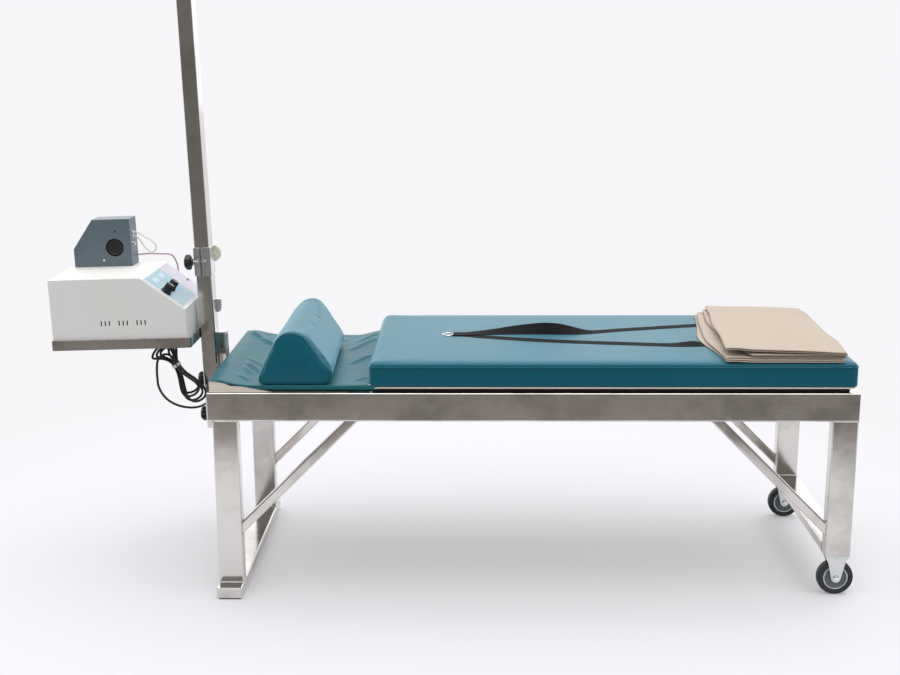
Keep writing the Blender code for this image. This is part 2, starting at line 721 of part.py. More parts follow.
def build_casters():
    """A fork, axle, wheel and tyre under each foot-end leg."""
    top = CASTER_HEIGHT - SEAT_GAP
    hub_half = TYRE_WIDTH / 2 + HUB_SIDE_GAP
    slot_half = hub_half + HUB_SIDE_GAP / 2
    outer_half = slot_half + FORK_CHEEK
    rim_radius = WHEEL_RADIUS - TYRE_THICKNESS - SEAT_GAP
    for side, end in ((-1, "front"), (1, "rear")):
        axle = (FOOT_LEG + LEG_BREADTH / 2, side * (HALF_WIDTH - LEG_DEPTH / 2), WHEEL_RADIUS)
        rise = top - WHEEL_RADIUS
        half = FORK_TOP_BREADTH / 2
        eye = [
            (FORK_EYE_RADIUS * math.cos(a), FORK_EYE_RADIUS * math.sin(a))
            for a in np.linspace(math.radians(-165), math.radians(-15), 8)
        ]
        outline = [(-half, rise), (-half, rise - FORK_CROWN), (-FORK_SHOULDER, rise - 3 * FORK_CROWN)]
        outline += eye + [(FORK_SHOULDER, rise - 3 * FORK_CROWN), (half, rise - FORK_CROWN), (half, rise)]
        fork = add_piece(
            f"caster_fork_{end}", extruded(outline, 1, -outer_half, outer_half), "zinc", axle
        )
        combine(fork, box((-1, -slot_half, -1), (1, slot_half, rise - FORK_CHEEK)))
        combine(fork, extruded(circle(AXLE_RADIUS + BORE_CLEARANCE, 16), 1, -1, 1))
        head = outer_half + SEAT_GAP
        bolt = [
            (-head - AXLE_HEAD_LENGTH, AXLE_HEAD_RADIUS),
            (-head, AXLE_HEAD_RADIUS),
            (-head, AXLE_RADIUS),
            (head, AXLE_RADIUS),
            (head, AXLE_HEAD_RADIUS),
            (head + AXLE_HEAD_LENGTH, AXLE_HEAD_RADIUS),
        ]
        add_piece(f"caster_axle_{end}", turned(bolt, 1, 16), "zinc", axle)
        bore = AXLE_RADIUS + BORE_CLEARANCE
        web = 0.35 * TYRE_WIDTH / 2
        rim = 0.42 * TYRE_WIDTH
        wheel = [
            (-hub_half, bore),
            (-hub_half, HUB_RADIUS),
            (-web, HUB_RADIUS + 0.002),
            (-web, rim_radius - 0.006),
            (-rim, rim_radius - 0.004),
            (-rim, rim_radius),
            (rim, rim_radius),
            (rim, rim_radius - 0.004),
            (web, rim_radius - 0.006),
            (web, HUB_RADIUS + 0.002),
            (hub_half, HUB_RADIUS),
            (hub_half, bore),
        ]
        add_piece(f"caster_wheel_{end}", turned(wheel, 1, WHEEL_SIDES, bored=True), "wheel_plastic", axle)
        seat = rim_radius + SEAT_GAP / math.cos(math.pi / WHEEL_SIDES)
        tread = TYRE_WIDTH / 2
        tyre = [
            (-rim, seat),
            (-tread, seat + 0.004),
            (-tread, WHEEL_RADIUS - 0.004),
            (-0.6 * tread, WHEEL_RADIUS),
            (0.6 * tread, WHEEL_RADIUS),
            (tread, WHEEL_RADIUS - 0.004),
            (tread, seat + 0.004),
            (rim, seat),
        ]
        add_piece(f"caster_tyre_{end}", turned(tyre, 1, WHEEL_SIDES, bored=True), "tyre", axle)


# Deck


def build_deck():
    """The sliding mattress on its glides, the head board with its vinyl sheet, and the bolster."""
    start = HEAD_END + MATTRESS_START
    middle = start + MATTRESS_LENGTH / 2
    edge = MATTRESS_EDGE
    thick = MATTRESS_THICKNESS - MATTRESS_CROWN
    core = HALF_WIDTH - 0.03
    profile = [
        (core, 0.0),
        (edge, 0.0),
        (0.3 * edge, 0.25 * edge),
        (0.0, edge),
        (0.0, thick - edge),
        (0.3 * edge, thick - 0.25 * edge),
        (edge, thick),
        (4 * edge, thick + 0.5 * MATTRESS_CROWN),
        (10 * edge, thick + 0.9 * MATTRESS_CROWN),
        (core, thick + MATTRESS_CROWN),
    ]
    shape = cushion(MATTRESS_LENGTH, TABLE_WIDTH, MATTRESS_CORNER, MATTRESS_DRAW, profile)
    add_piece("mattress", shape, "teal_vinyl", (middle, 0, MATTRESS_BOTTOM))
    length = MATTRESS_LENGTH - 2 * BASE_BOARD_INSET
    outline = rounded_rectangle(length, TABLE_WIDTH - 2 * BASE_BOARD_INSET, MATTRESS_CORNER, 3)
    board = extruded(outline, 2, 0.0, BASE_BOARD_THICKNESS)
    add_piece("mattress_board", board, "plywood", (middle, 0, BASE_BOARD_BOTTOM))
    for side, end in ((-1, "front"), (1, "rear")):
        glide = extruded(glide_outline(length, side), 2, 0.0, GLIDE_HEIGHT)
        place = (middle, side * (HALF_WIDTH - GLIDE_INSET), RAIL_TOP + SEAT_GAP)
        add_piece(f"glide_strip_{end}", glide, "black_plastic", place)
    build_head_board()
    build_sheet()
    build_bolster()


def glide_outline(length, side):
    """A strip with evenly spaced tabs that reach out towards the side of the table."""
    half = length / 2 - MATTRESS_EDGE
    pitch = 2 * (half - GLIDE_TAB_LENGTH / 2) / (GLIDE_TABS - 1)
    points = [(-half, -side * GLIDE_WIDTH), (half, -side * GLIDE_WIDTH)]
    for i in reversed(range(GLIDE_TABS)):
        left = -half + i * pitch
        right = left + GLIDE_TAB_LENGTH
        reach = side * GLIDE_TAB_REACH
        points += [(right, 0.0), (right, reach), (left, reach), (left, 0.0)]
    return [p for i, p in enumerate(points) if i == 0 or p != points[i - 1]]


def head_board_end():
    """Where the head board stops, clear of the mattress at its nearest."""
    return HEAD_END + MATTRESS_START - MATTRESS_TRAVEL - 2 * RUNNING_GAP


def build_head_board():
    """A plywood board with a raised batten along the head end."""
    start = HEAD_END + HEAD_BOARD_START
    rise = HEAD_BOARD_THICKNESS + BATTEN_RISE
    outline = [
        (0.0, 0.0),
        (head_board_end() - start, 0.0),
        (head_board_end() - start, HEAD_BOARD_THICKNESS),
        (BATTEN_BREADTH + BATTEN_SLOPE, HEAD_BOARD_THICKNESS),
        (BATTEN_BREADTH, rise),
        (0.0, rise),
    ]
    half = HALF_WIDTH - HEAD_BOARD_INSET
    place = (start, 0, RAIL_TOP + SEAT_GAP)
    add_piece("head_board", extruded(outline, 1, -half, half), "plywood", place)


def build_sheet():
    """A vinyl sheet over the head board, in slack folds either side of the bolster."""
    start = HEAD_END + HEAD_BOARD_START
    end = HEAD_END + MATTRESS_START
    clear = SEAT_GAP + SHEET_THICKNESS / 2
    top = HEAD_BOARD_TOP + BATTEN_RISE + clear
    slope_end = start + BATTEN_BREADTH + BATTEN_SLOPE
    side = [
        (start - clear - 0.0006, top - SHEET_FLAP_DROP),
        (start - clear - 0.0006, top - 0.5 * SHEET_FLAP_DROP),
        (start - clear - 0.0004, top - 0.003),
        (start - clear - 0.0002, top - 0.0008),
        (start - 0.0002, top + 0.0004),
        (start + 0.004, top + 0.0006),
        (start + 0.5 * BATTEN_BREADTH, top + 0.0006),
        (start + BATTEN_BREADTH + 0.002, top + 0.0004),
        (slope_end + 0.003, SHEET_LEVEL + 0.0006),
    ]
    run = np.linspace(slope_end + 0.016, end - 0.012, 20)
    side += [(x, SHEET_LEVEL + 0.0004) for x in run]
    side = np.array(side)
    climb = np.clip((side[:, 0] - (end - 0.058)) / 0.046, 0, 1)
    side[:, 1] += SHEET_END_RISE * climb**2 * (3 - 2 * climb)
    front = -HALF_WIDTH + HEAD_BOARD_INSET - clear
    back = HALF_WIDTH - SHEET_BACK_INSET
    hem = [front - 0.0022, front - 0.0014, front - 0.0006, front + 0.0006]
    across = np.concatenate([hem, np.linspace(front + 0.006, back, 9)])
    drop = np.zeros(len(across))
    drop[:4] = (1.0, 0.5, 0.15, 0.012)
    grid = np.zeros((len(side), len(across), 3))
    grid[:, :, 0] = side[:, :1]
    grid[:, :, 1] = across
    grid[:, :, 2] = side[:, 1:]
    hang = np.clip((side[:, 0] - slope_end - 0.02) / 0.06, 0, 1) * (1 - climb)
    over = np.clip((side[:, 0] - start) / 0.01, 0, 1)
    grid[:, :, 2] -= SHEET_HEM_DROP * (over * (0.25 + 0.75 * hang))[:, None] * drop
    grid[:, :, 2] += fold_height(grid[:, :, 0], grid[:, :, 1], slope_end) * (1 - drop)
    add_piece("deck_sheet", thick_sheet(grid, SHEET_THICKNESS), "sheet_vinyl")


def fold_height(x, y, slope_end):
    """Height of the slack folds: ripples across the sheet, none under the bolster."""
    bolster = HEAD_END + BOLSTER_START
    left = np.clip((x - slope_end - 0.004) / 0.02, 0, 1) * np.clip((bolster - 0.012 - x) / 0.014, 0, 1)
    right_start = bolster + BOLSTER_WIDTH + 0.008
    right = np.clip((x - right_start) / 0.014, 0, 1)
    wave = 0.5 + 0.5 * np.sin(2 * math.pi * (x + 0.16 * y) / SHEET_FOLD_LENGTH)
    return SHEET_FOLD * wave * (left + right)


def build_bolster():
    """A firm triangular bolster with a round ridge and slightly crowned ends."""
    centre = HEAD_END + BOLSTER_START + BOLSTER_WIDTH / 2
    base = SHEET_LEVEL + SHEET_THICKNESS / 2 + SEAT_GAP + 0.0006
    outline = bolster_outline()
    middle = np.array((0.0, BOLSTER_HEIGHT * 0.36))
    stations = [(0.0, 0.80), (0.0, 0.80), (0.35, 0.93), (1.0, 0.985), (2.6, 1.0)]
    rings = []
    for depth, scale in stations[1:]:
        rings.append(lift(middle + (outline - middle) * (scale, scale), 1, depth * BOLSTER_END_CROWN))
    rings += [ring * (1, -1, 1) + (0, BOLSTER_LENGTH, 0) for ring in reversed(rings)]
    lowest = min(ring[:, 2].min() for ring in rings)
    place = (centre, -HALF_WIDTH + BOLSTER_FRONT_INSET, base - lowest)
    add_piece("bolster", loft(rings), "teal_vinyl", place)


def bolster_outline():
    """Rounded triangle with its base on the ground line and its ridge nearer the head end."""
    small = BOLSTER_BASE_RADIUS
    large = BOLSTER_APEX_RADIUS
    foot = BOLSTER_WIDTH / 2 - small
    rise = BOLSTER_HEIGHT - large - small
    spread = math.acos((small - large) / math.hypot(foot - BOLSTER_APEX_OFFSET, rise))
    right = math.atan2(rise, BOLSTER_APEX_OFFSET - foot) - spread
    spread = math.acos((small - large) / math.hypot(foot + BOLSTER_APEX_OFFSET, rise))
    left = math.atan2(rise, BOLSTER_APEX_OFFSET + foot) + spread
    points = []
    for angle in np.linspace(-math.pi / 2, right, 4):
        points.append((foot + small * math.cos(angle), small + small * math.sin(angle)))
    for angle in np.linspace(right, left, 8):
        points.append((BOLSTER_APEX_OFFSET + large * math.cos(angle), small + rise + large * math.sin(angle)))
    for angle in np.linspace(left, 3 * math.pi / 2, 4):
        points.append((-foot + small * math.cos(angle), small + small * math.sin(angle)))
    return np.array(points)


# Harness


def build_harness():
    """The folded canvas harness, its webbing straps and their steel ring, on the mattress."""
    layers = []
    for layer in range(HARNESS_LAYERS):
        low = layer * HARNESS_LAYER
        inset = 0.004 * layer
        layers += [
            (inset + HARNESS_CREASE if layer else inset + 0.004, low + 0.0002),
            (inset, low + 0.3 * HARNESS_LAYER),
            (inset, low + 0.75 * HARNESS_LAYER),
            (inset + 0.004, low + HARNESS_LAYER),
        ]
    core = HARNESS_LENGTH / 2 - 0.02
    profile = [(core, 0.0)] + layers + [(core, HARNESS_LAYERS * HARNESS_LAYER + 0.001)]
    shape = cushion(HARNESS_LENGTH, HARNESS_WIDTH, 0.012, 0.004, profile)
    start = FOOT_END - HARNESS_FOOT_SETBACK - HARNESS_LENGTH
    middle = -HALF_WIDTH + HARNESS_FRONT_INSET + HARNESS_WIDTH / 2
    floor = MATTRESS_TOP + SEAT_GAP
    add_piece("harness_pad", shape, "tan_canvas", (start + HARNESS_LENGTH / 2, middle, floor))
    build_straps(start, floor)
    build_ring(floor)


def build_straps(pad_start, floor):
    """Two webbing straps that meet at the ring and lie in shallow humps."""
    ring = HEAD_END + RING_START
    end = pad_start - STRAP_PAD_GAP
    over_ring = floor + RING_WIRE + SEAT_GAP + STRAP_THICKNESS / 2
    flat = floor + SEAT_GAP + STRAP_THICKNESS / 2
    straps = []
    rear = (STRAP_REAR_SPREAD, STRAP_HUMP, 0.0)
    front = (-STRAP_FRONT_SPREAD, 0.25 * STRAP_HUMP, STRAP_OVERLAP)
    for spread, hump, lift_up in (rear, front):
        share = np.linspace(0, 1, 17)
        x = ring + STRAP_FROM_RING + (end - ring - STRAP_FROM_RING) * share
        y = RING_BACK + spread * np.clip((share - 0.04) / 0.96, 0, 1) ** 0.9
        settle = np.clip(share / 0.06, 0, 1)
        z = over_ring + (flat - over_ring) * settle + hump * np.sin(math.pi * np.clip((share - 0.12) / 0.5, 0, 1)) ** 2
        z += lift_up * (1 - np.clip((share - 0.2) / 0.1, 0, 1))
        line = np.stack([x, y, z], axis=1)
        grid = line[:, None, :] + np.linspace(-0.5, 0.5, 3)[None, :, None] * (0, STRAP_WIDTH, 0)
        straps.append(thick_sheet(grid, STRAP_THICKNESS))
    piece = add_piece("harness_straps", straps[0], "webbing")
    combine(piece, straps[1], "UNION")


def build_ring(floor):
    """A D-shaped steel ring lying flat, its straight bar under the straps."""
    wire = RING_WIRE / 2
    middle = RING_OUTER_RADIUS - wire
    path = []
    for angle in np.linspace(math.radians(60), math.radians(300), 15):
        path.append((middle * math.cos(angle), middle * math.sin(angle)))
    path += [(middle * 0.5 + 0.004, -0.5 * middle), (middle * 0.5 + 0.004, 0.5 * middle)]
    path = np.array(path)
    heading = np.roll(path, -1, axis=0) - np.roll(path, 1, axis=0)
    outward = np.stack([heading[:, 1], -heading[:, 0]], axis=1)
    outward /= np.linalg.norm(outward, axis=1, keepdims=True)
    rings = []
    for point, out in zip(path, outward):
        section = circle(wire, 8)
        ring = np.zeros((8, 3))
        ring[:, :2] = point + section[:, :1] * out
        ring[:, 2] = wire + section[:, 1]
        rings.append(ring)
    place = (HEAD_END + RING_START, RING_BACK, floor)
    add_piece("harness_ring", loft(rings, closed=True), "zinc", place)


# Mast


def build_mast(mast_frame):
    """The mast, its stay on the end rail and the two star knobs that clamp it."""
    outer = rounded_rectangle(MAST_BREADTH, MAST_DEPTH, TUBE_CORNER)
    inner = rounded_rectangle(MAST_BREADTH - 2 * MAST_WALL, MAST_DEPTH - 2 * MAST_WALL, TUBE_CORNER - MAST_WALL)
    rings = [lift(inner, 2, MAST_LENGTH - MAST_WALL), lift(inner, 2, 0.0)]
    rings += [lift(outer, 2, 0.0), lift(outer, 2, MAST_LENGTH)]
    mast = add_piece("mast", loft(rings), "stainless", (MAST_CENTRE, 0, -MAST_FOOT_DROP), mast_frame)
    stay_middle = (STAY_TOP - MAST_FOOT_DROP) / 2
    half = (STAY_TOP + MAST_FOOT_DROP) / 2
    block = box((-STAY_BREADTH / 2, -STAY_DEPTH / 2, -half), (STAY_BREADTH / 2, STAY_DEPTH / 2, half))
    stay = add_piece("mast_stay", block, "stainless", (-STAY_BREADTH / 2, STAY_SHIFT, stay_middle), mast_frame)
    rib = STAY_RIB_RISE - stay_middle
    pocket = STAY_BREADTH / 2 - STAY_WALL
    inside = STAY_DEPTH / 2 - STAY_WALL
    for low, high in ((-1.0, rib - STAY_WALL), (rib, half - STAY_WALL)):
        combine(stay, box((-pocket, -1, low), (pocket, inside, high)))
    stud = MAST_BREADTH + STAY_WALL + STUD_THREAD_REACH + 2 * SEAT_GAP
    hole = circle(STUD_RADIUS + BORE_CLEARANCE, 16)
    for name, rise in (("upper_knob", UPPER_KNOB_RISE), ("lower_knob", -LOWER_KNOB_DROP)):
        place = (MAST_LEFT - SEAT_GAP, STAY_SHIFT, rise)
        add_piece(name, star_knob(STUD_RADIUS, stud, 0), "black_plastic", place, mast_frame)
        combine(mast, extruded(hole + (STAY_SHIFT, rise + MAST_FOOT_DROP), 0, -1, 1))
        combine(stay, extruded(hole + (0, rise - stay_middle), 0, -1, 0))
    build_collar(mast_frame)
    guide = [(-GUIDE_BREADTH, -GUIDE_HEIGHT), (0.0 - GUIDE_REACH, -GUIDE_HEIGHT)]
    for angle in np.linspace(math.radians(-60), 0, 5):
        across = GUIDE_REACH * (math.cos(angle) - 1)
        guide.append((across, -0.4 * GUIDE_HEIGHT + 0.6 * GUIDE_HEIGHT * math.sin(angle)))
    guide += [(0.0, 0.0), (-GUIDE_BREADTH, 0.0)]
    behind = MAST_DEPTH / 2 + SEAT_GAP
    place = (MAST_RIGHT + GUIDE_REACH, behind, GUIDE_TOP)
    add_piece("rope_guide", extruded(guide, 1, 0.0, GUIDE_THICKNESS), "zinc", place, mast_frame)


def build_collar(mast_frame):
    """A split collar that slides on the mast, its clamp knob and the rope pulley on its rear."""
    place = (MAST_CENTRE, 0, COLLAR_BOTTOM)
    inner_x = MAST_BREADTH / 2 + SEAT_GAP
    inner_y = MAST_DEPTH / 2 + SEAT_GAP
    outer_x = inner_x + COLLAR_WALL
    outer_y = inner_y + COLLAR_WALL
    split = COLLAR_SPLIT / 2
    ear = split + EAR_THICKNESS
    reach = outer_y + EAR_REACH
    half = [(split, -reach), (ear, -reach), (ear, -outer_y), (outer_x, -outer_y), (outer_x, outer_y)]
    inside = [(inner_x, inner_y), (inner_x, -inner_y), (split, -inner_y)]
    outline = half + [(-x, y) for x, y in reversed(half)]
    outline += [(-x, y) for x, y in reversed(inside)] + inside
    collar = add_piece("pulley_collar", extruded(outline, 2, 0.0, COLLAR_HEIGHT), "stainless", place, mast_frame)
    forward = -outer_y - CLAMP_BOLT_FORWARD
    hole = circle(CLAMP_STUD_RADIUS + BORE_CLEARANCE, 16)
    combine(collar, extruded(hole + (forward, CLAMP_BOLT_RISE), 0, -1, 1))
    face = outer_y
    wheel_start = face + RUNNING_GAP
    wheel_end = wheel_start + PULLEY_WIDTH
    head = wheel_end + RUNNING_GAP
    axle = [
        (face - COLLAR_WALL / 2, PULLEY_AXLE_RADIUS),
        (head, PULLEY_AXLE_RADIUS),
        (head, PULLEY_AXLE_HEAD_RADIUS),
        (head + PULLEY_AXLE_HEAD_LENGTH, PULLEY_AXLE_HEAD_RADIUS),
    ]
    points, faces = turned(axle, 1, 16)
    combine(collar, (points + (PULLEY_OFFSET, 0, PULLEY_RISE), faces), "UNION")
    bore = PULLEY_AXLE_RADIUS + BORE_CLEARANCE
    groove = PULLEY_RADIUS - PULLEY_GROOVE
    wheel = [
        (0.0, bore),
        (0.0, PULLEY_RADIUS - 0.002),
        (0.002, PULLEY_RADIUS),
        (0.36 * PULLEY_WIDTH, groove),
        (0.64 * PULLEY_WIDTH, groove),
        (PULLEY_WIDTH - 0.002, PULLEY_RADIUS),
        (PULLEY_WIDTH, PULLEY_RADIUS - 0.002),
        (PULLEY_WIDTH, bore),
    ]
    centre = (MAST_CENTRE + PULLEY_OFFSET, wheel_start, COLLAR_BOTTOM + PULLEY_RISE)
    add_piece("pulley", turned(wheel, 1, 24, bored=True), "nylon", centre, mast_frame)
    stand = outer_x + SEAT_GAP
    stud = stand + ear + 0.006
    knob = star_knob(CLAMP_STUD_RADIUS, stud, 0)
    centre = (MAST_CENTRE - stand, forward, COLLAR_BOTTOM + CLAMP_BOLT_RISE)
    add_piece("collar_knob", knob, "black_plastic", centre, mast_frame)


# Traction unit


def build_unit(mast_frame):
    """The tray, the control case with its panel, and the traction head with its winch."""
    size = (TRAY_LENGTH, TRAY_DEPTH)
    inside = (TRAY_LENGTH - 2 * TRAY_WALL, TRAY_DEPTH - 2 * TRAY_WALL)
    outer = rounded_rectangle(*size, TRAY_WALL + 0.001)
    inner = rounded_rectangle(*inside, 0.001)
    rings = [lift(outer, 2, 0.0), lift(outer, 2, TRAY_LIP), lift(inner, 2, TRAY_LIP), lift(inner, 2, TRAY_WALL)]
    tray_middle = (TRAY_LEFT + TRAY_RIGHT) / 2
    tray = add_piece("tray", loft(rings), "stainless", (tray_middle, 0, TRAY_BOTTOM), mast_frame)
    gland_x = TRAY_RIGHT - GLAND_FROM_TRAY_END
    neck = circle(GLAND_NECK_RADIUS + BORE_CLEARANCE, 16)
    combine(tray, extruded(neck + (gland_x - tray_middle, -GLAND_FORWARD), 2, -1, 1))
    build_case(mast_frame, neck + (gland_x - CASE_LEFT, -GLAND_FORWARD))
    build_panel(mast_frame)
    build_head(mast_frame)
    neck_top = TRAY_WALL + SEAT_GAP + CASE_WALL + GLAND_NECK
    flange = SEAT_GAP + GLAND_FLANGE
    gland = [
        (neck_top, GLAND_NECK_RADIUS),
        (-SEAT_GAP, GLAND_NECK_RADIUS),
        (-SEAT_GAP, GLAND_FLANGE_RADIUS),
        (-flange, GLAND_FLANGE_RADIUS),
        (-flange, GLAND_NECK_RADIUS),
        (-flange - GLAND_LENGTH, GLAND_TIP_RADIUS),
    ]
    place = (gland_x, -GLAND_FORWARD, TRAY_BOTTOM)
    add_piece("cord_gland", turned(gland, 2, 16), "black_plastic", place, mast_frame)


def case_outline(wall):
    """Side view of the control case, inset by a wall; the slope carries the panel."""
    slope = math.atan2(CASE_HEIGHT - CASE_FRONT_HEIGHT, PANEL_RUN)
    shift = wall * math.tan(slope / 2)
    turn = wall * math.tan((math.pi / 2 - slope) / 2)
    return [
        (wall, wall),
        (CASE_LENGTH - wall, wall),
        (CASE_LENGTH - wall, CASE_FRONT_HEIGHT - turn),
        (CASE_LENGTH - PANEL_RUN - shift, CASE_HEIGHT - wall),
        (wall, CASE_HEIGHT - wall),
    ]


def panel_place():
    """Middle of the case's slope in the mast frame, its slope angle and its length."""
    drop = CASE_HEIGHT - CASE_FRONT_HEIGHT
    middle = (CASE_RIGHT - PANEL_RUN / 2, 0, CASE_BOTTOM + CASE_FRONT_HEIGHT + drop / 2)
    return middle, math.atan2(drop, PANEL_RUN), math.hypot(drop, PANEL_RUN)


def build_case(mast_frame, gland_hole):
    """A sheet-steel case with vents, open under the panel, and the power supply inside."""
    half = CASE_DEPTH / 2
    place = (CASE_LEFT, 0, CASE_BOTTOM)
    case = add_piece("control_case", extruded(case_outline(0.0), 1, -half, half), "white_paint", place, mast_frame)
    combine(case, extruded(case_outline(CASE_WALL), 1, CASE_WALL - half, half - CASE_WALL))
    middle, slope, length = panel_place()
    opening = box(
        (PANEL_FRAME - length / 2, PANEL_FRAME - half, -0.02),
        (length / 2 - PANEL_FRAME, half - PANEL_FRAME, 0.02),
    )
    turn = Matrix.Rotation(slope, 3, "Y")
    offset = Vector(middle) - Vector(place)
    combine(case, ([turn @ Vector(p) + offset for p in opening[0]], opening[1]))
    combine(case, extruded(gland_hole, 2, -CASE_WALL, 2 * CASE_WALL))
    slots = []
    for group in range(VENT_GROUPS):
        for slot in range(VENTS_PER_GROUP):
            left = VENT_START + group * VENT_GROUP_PITCH + slot * VENT_PITCH
            low = (left, -half - CASE_WALL, VENT_RISE - VENT_HEIGHT)
            slots.append(box(low, (left + VENT_WIDTH, 2 * CASE_WALL - half, VENT_RISE)))
    combine(case, joined(slots))
    length, depth, height = POWER_SUPPLY_SIZE
    block = extruded(rounded_rectangle(length, depth, 0.006), 2, 0.0, height)
    place = (CASE_LEFT + POWER_SUPPLY_OFFSET + length / 2, 0, CASE_BOTTOM + CASE_WALL + SEAT_GAP)
    add_piece("power_supply", block, "grey_plastic", place, mast_frame)


def build_panel(mast_frame):
    """The control panel on the slope, with two dials and a start button."""
    middle, slope, length = panel_place()
    panel_frame = add_empty("panel_frame", middle, (0, slope, 0), mast_frame)
    outline = rounded_rectangle(length - 2 * PANEL_MARGIN, CASE_DEPTH - 2 * PANEL_MARGIN, 0.003)
    plate = extruded(outline, 2, 0.0, PANEL_THICKNESS)
    panel = add_piece("control_panel", plate, "panel_film", (0, 0, SEAT_GAP), panel_frame)
    face = SEAT_GAP + PANEL_THICKNESS
    shaft_hole = circle(DIAL_SHAFT_RADIUS + BORE_CLEARANCE, 16)
    for index, name in enumerate(("force_dial", "time_dial")):
        across = DIAL_FRONT_INSET + DIAL_SPACING * index - CASE_DEPTH / 2
        spot = (DIAL_DOWN_SLOPE - length / 2, across, face + RUNNING_GAP)
        combine(panel, extruded(shaft_hole + spot[:2], 2, -1, 1))
        add_piece(name, dial(), "black_plastic", spot, panel_frame)
    spot = (BUTTON_DOWN_SLOPE - length / 2, CASE_DEPTH / 2 - BUTTON_REAR_INSET, face)
    combine(panel, extruded(circle(BUTTON_RADIUS + BORE_CLEARANCE, 16) + spot[:2], 2, -1, 1))
    cap = [
        (-BUTTON_DEPTH, BUTTON_RADIUS),
        (BUTTON_PROUD - 0.0008, BUTTON_RADIUS),
        (BUTTON_PROUD, BUTTON_RADIUS - 0.0008),
    ]
    add_piece("start_button", turned(cap, 2, 16), "grey_plastic", spot, panel_frame)


def dial():
    """A pointer dial: a skirt, a waisted grip drawn out to one side, and a shaft below."""
    sides = 20
    grip = circle(DIAL_RADIUS, sides) * (1.0, 0.78)
    rings = [
        lift(circle(DIAL_SHAFT_RADIUS, sides), 2, -DIAL_SHAFT_REACH),
        lift(circle(DIAL_SHAFT_RADIUS, sides), 2, 0.0),
        lift(circle(DIAL_SKIRT_RADIUS, sides), 2, 0.0),
        lift(circle(DIAL_SKIRT_RADIUS, sides), 2, DIAL_SKIRT_HEIGHT),
        lift(grip, 2, DIAL_SKIRT_HEIGHT),
        lift(grip, 2, DIAL_HEIGHT - 0.001),
        lift(grip * 0.9, 2, DIAL_HEIGHT),
    ]
    return loft(rings)


def head_outline(wall):
    """Side view of the traction head, inset by a wall; its back slopes up to a flat top."""
    rise = HEAD_HEIGHT - HEAD_BACK_HEIGHT
    run = HEAD_LENGTH - HEAD_TOP_LENGTH
    slope = math.atan2(rise, run)
    lower = wall * math.tan((math.pi / 2 - slope) / 2)
    upper = wall * math.tan(slope / 2)
    return [
        (wall, wall),
        (HEAD_LENGTH - wall, wall),
        (HEAD_LENGTH - wall, HEAD_HEIGHT - wall),
        (run + upper, HEAD_HEIGHT - wall),
        (wall, HEAD_BACK_HEIGHT - lower),
    ]


def build_head(mast_frame):
    """The traction head: its case, the rope drum on a gear motor, the rope and the signal cable."""
    place = (HEAD_LEFT, HEAD_FRONT, HEAD_BOTTOM)
    case = add_piece("head_case", extruded(head_outline(0.0), 1, 0.0, HEAD_DEPTH), "grey_paint", place, mast_frame)
    combine(case, extruded(head_outline(HEAD_WALL), 1, HEAD_WALL, HEAD_DEPTH - HEAD_WALL))
    mouth = circle(DRUM_CAP_RADIUS + RUNNING_GAP, WHEEL_SIDES)
    combine(case, extruded(mouth + (DRUM_ALONG, DRUM_RISE), 1, -HEAD_WALL, 2 * HEAD_WALL))
    axis = (HEAD_LEFT + DRUM_ALONG, HEAD_FRONT, HEAD_BOTTOM + DRUM_RISE)
    cap_end = DRUM_CAP_RECESS + DRUM_CAP_THICKNESS
    cap = [
        (DRUM_CAP_RECESS, DRUM_CAP_RADIUS - 0.0015),
        (DRUM_CAP_RECESS + 0.0015, DRUM_CAP_RADIUS - 0.0005),
        (cap_end, DRUM_CAP_RADIUS - 0.0005),
    ]
    add_piece("drum_cap", turned(cap, 1, WHEEL_SIDES), "black_plastic", axis, mast_frame)
    start = cap_end + SEAT_GAP
    end = start + DRUM_LENGTH
    drum = [
        (start, DRUM_FLANGE_RADIUS),
        (start + DRUM_FLANGE, DRUM_FLANGE_RADIUS),
        (start + DRUM_FLANGE, DRUM_CORE_RADIUS),
        (end - DRUM_FLANGE, DRUM_CORE_RADIUS),
        (end - DRUM_FLANGE, DRUM_FLANGE_RADIUS),
        (end, DRUM_FLANGE_RADIUS),
        (end, DRUM_SHAFT_RADIUS),
        (end + RUNNING_GAP + DRUM_SHAFT_REACH, DRUM_SHAFT_RADIUS),
    ]
    add_piece("rope_drum", turned(drum, 1, 20), "zinc", axis, mast_frame)
    motor_front = end + RUNNING_GAP
    motor_back = HEAD_DEPTH - HEAD_WALL - SEAT_GAP
    bore = DRUM_SHAFT_RADIUS + BORE_CLEARANCE
    motor = [(motor_front, bore), (motor_front, MOTOR_RADIUS), (motor_back, MOTOR_RADIUS), (motor_back, bore)]
    add_piece("gear_motor", turned(motor, 1, 20, bored=True), "zinc", axis, mast_frame)
    exit_point = np.array((HEAD_RIGHT + SEAT_GAP, HEAD_FRONT + ROPE_BACK, HEAD_BOTTOM + ROPE_RISE))
    route = [exit_point + (along, 0.0, rise) for along, rise in ROPE_POINTS]
    cord("traction_rope", smooth_route(route, 2 * ROPE_DIAMETER), ROPE_DIAMETER, "rope", mast_frame)
    build_signal_cable(mast_frame)


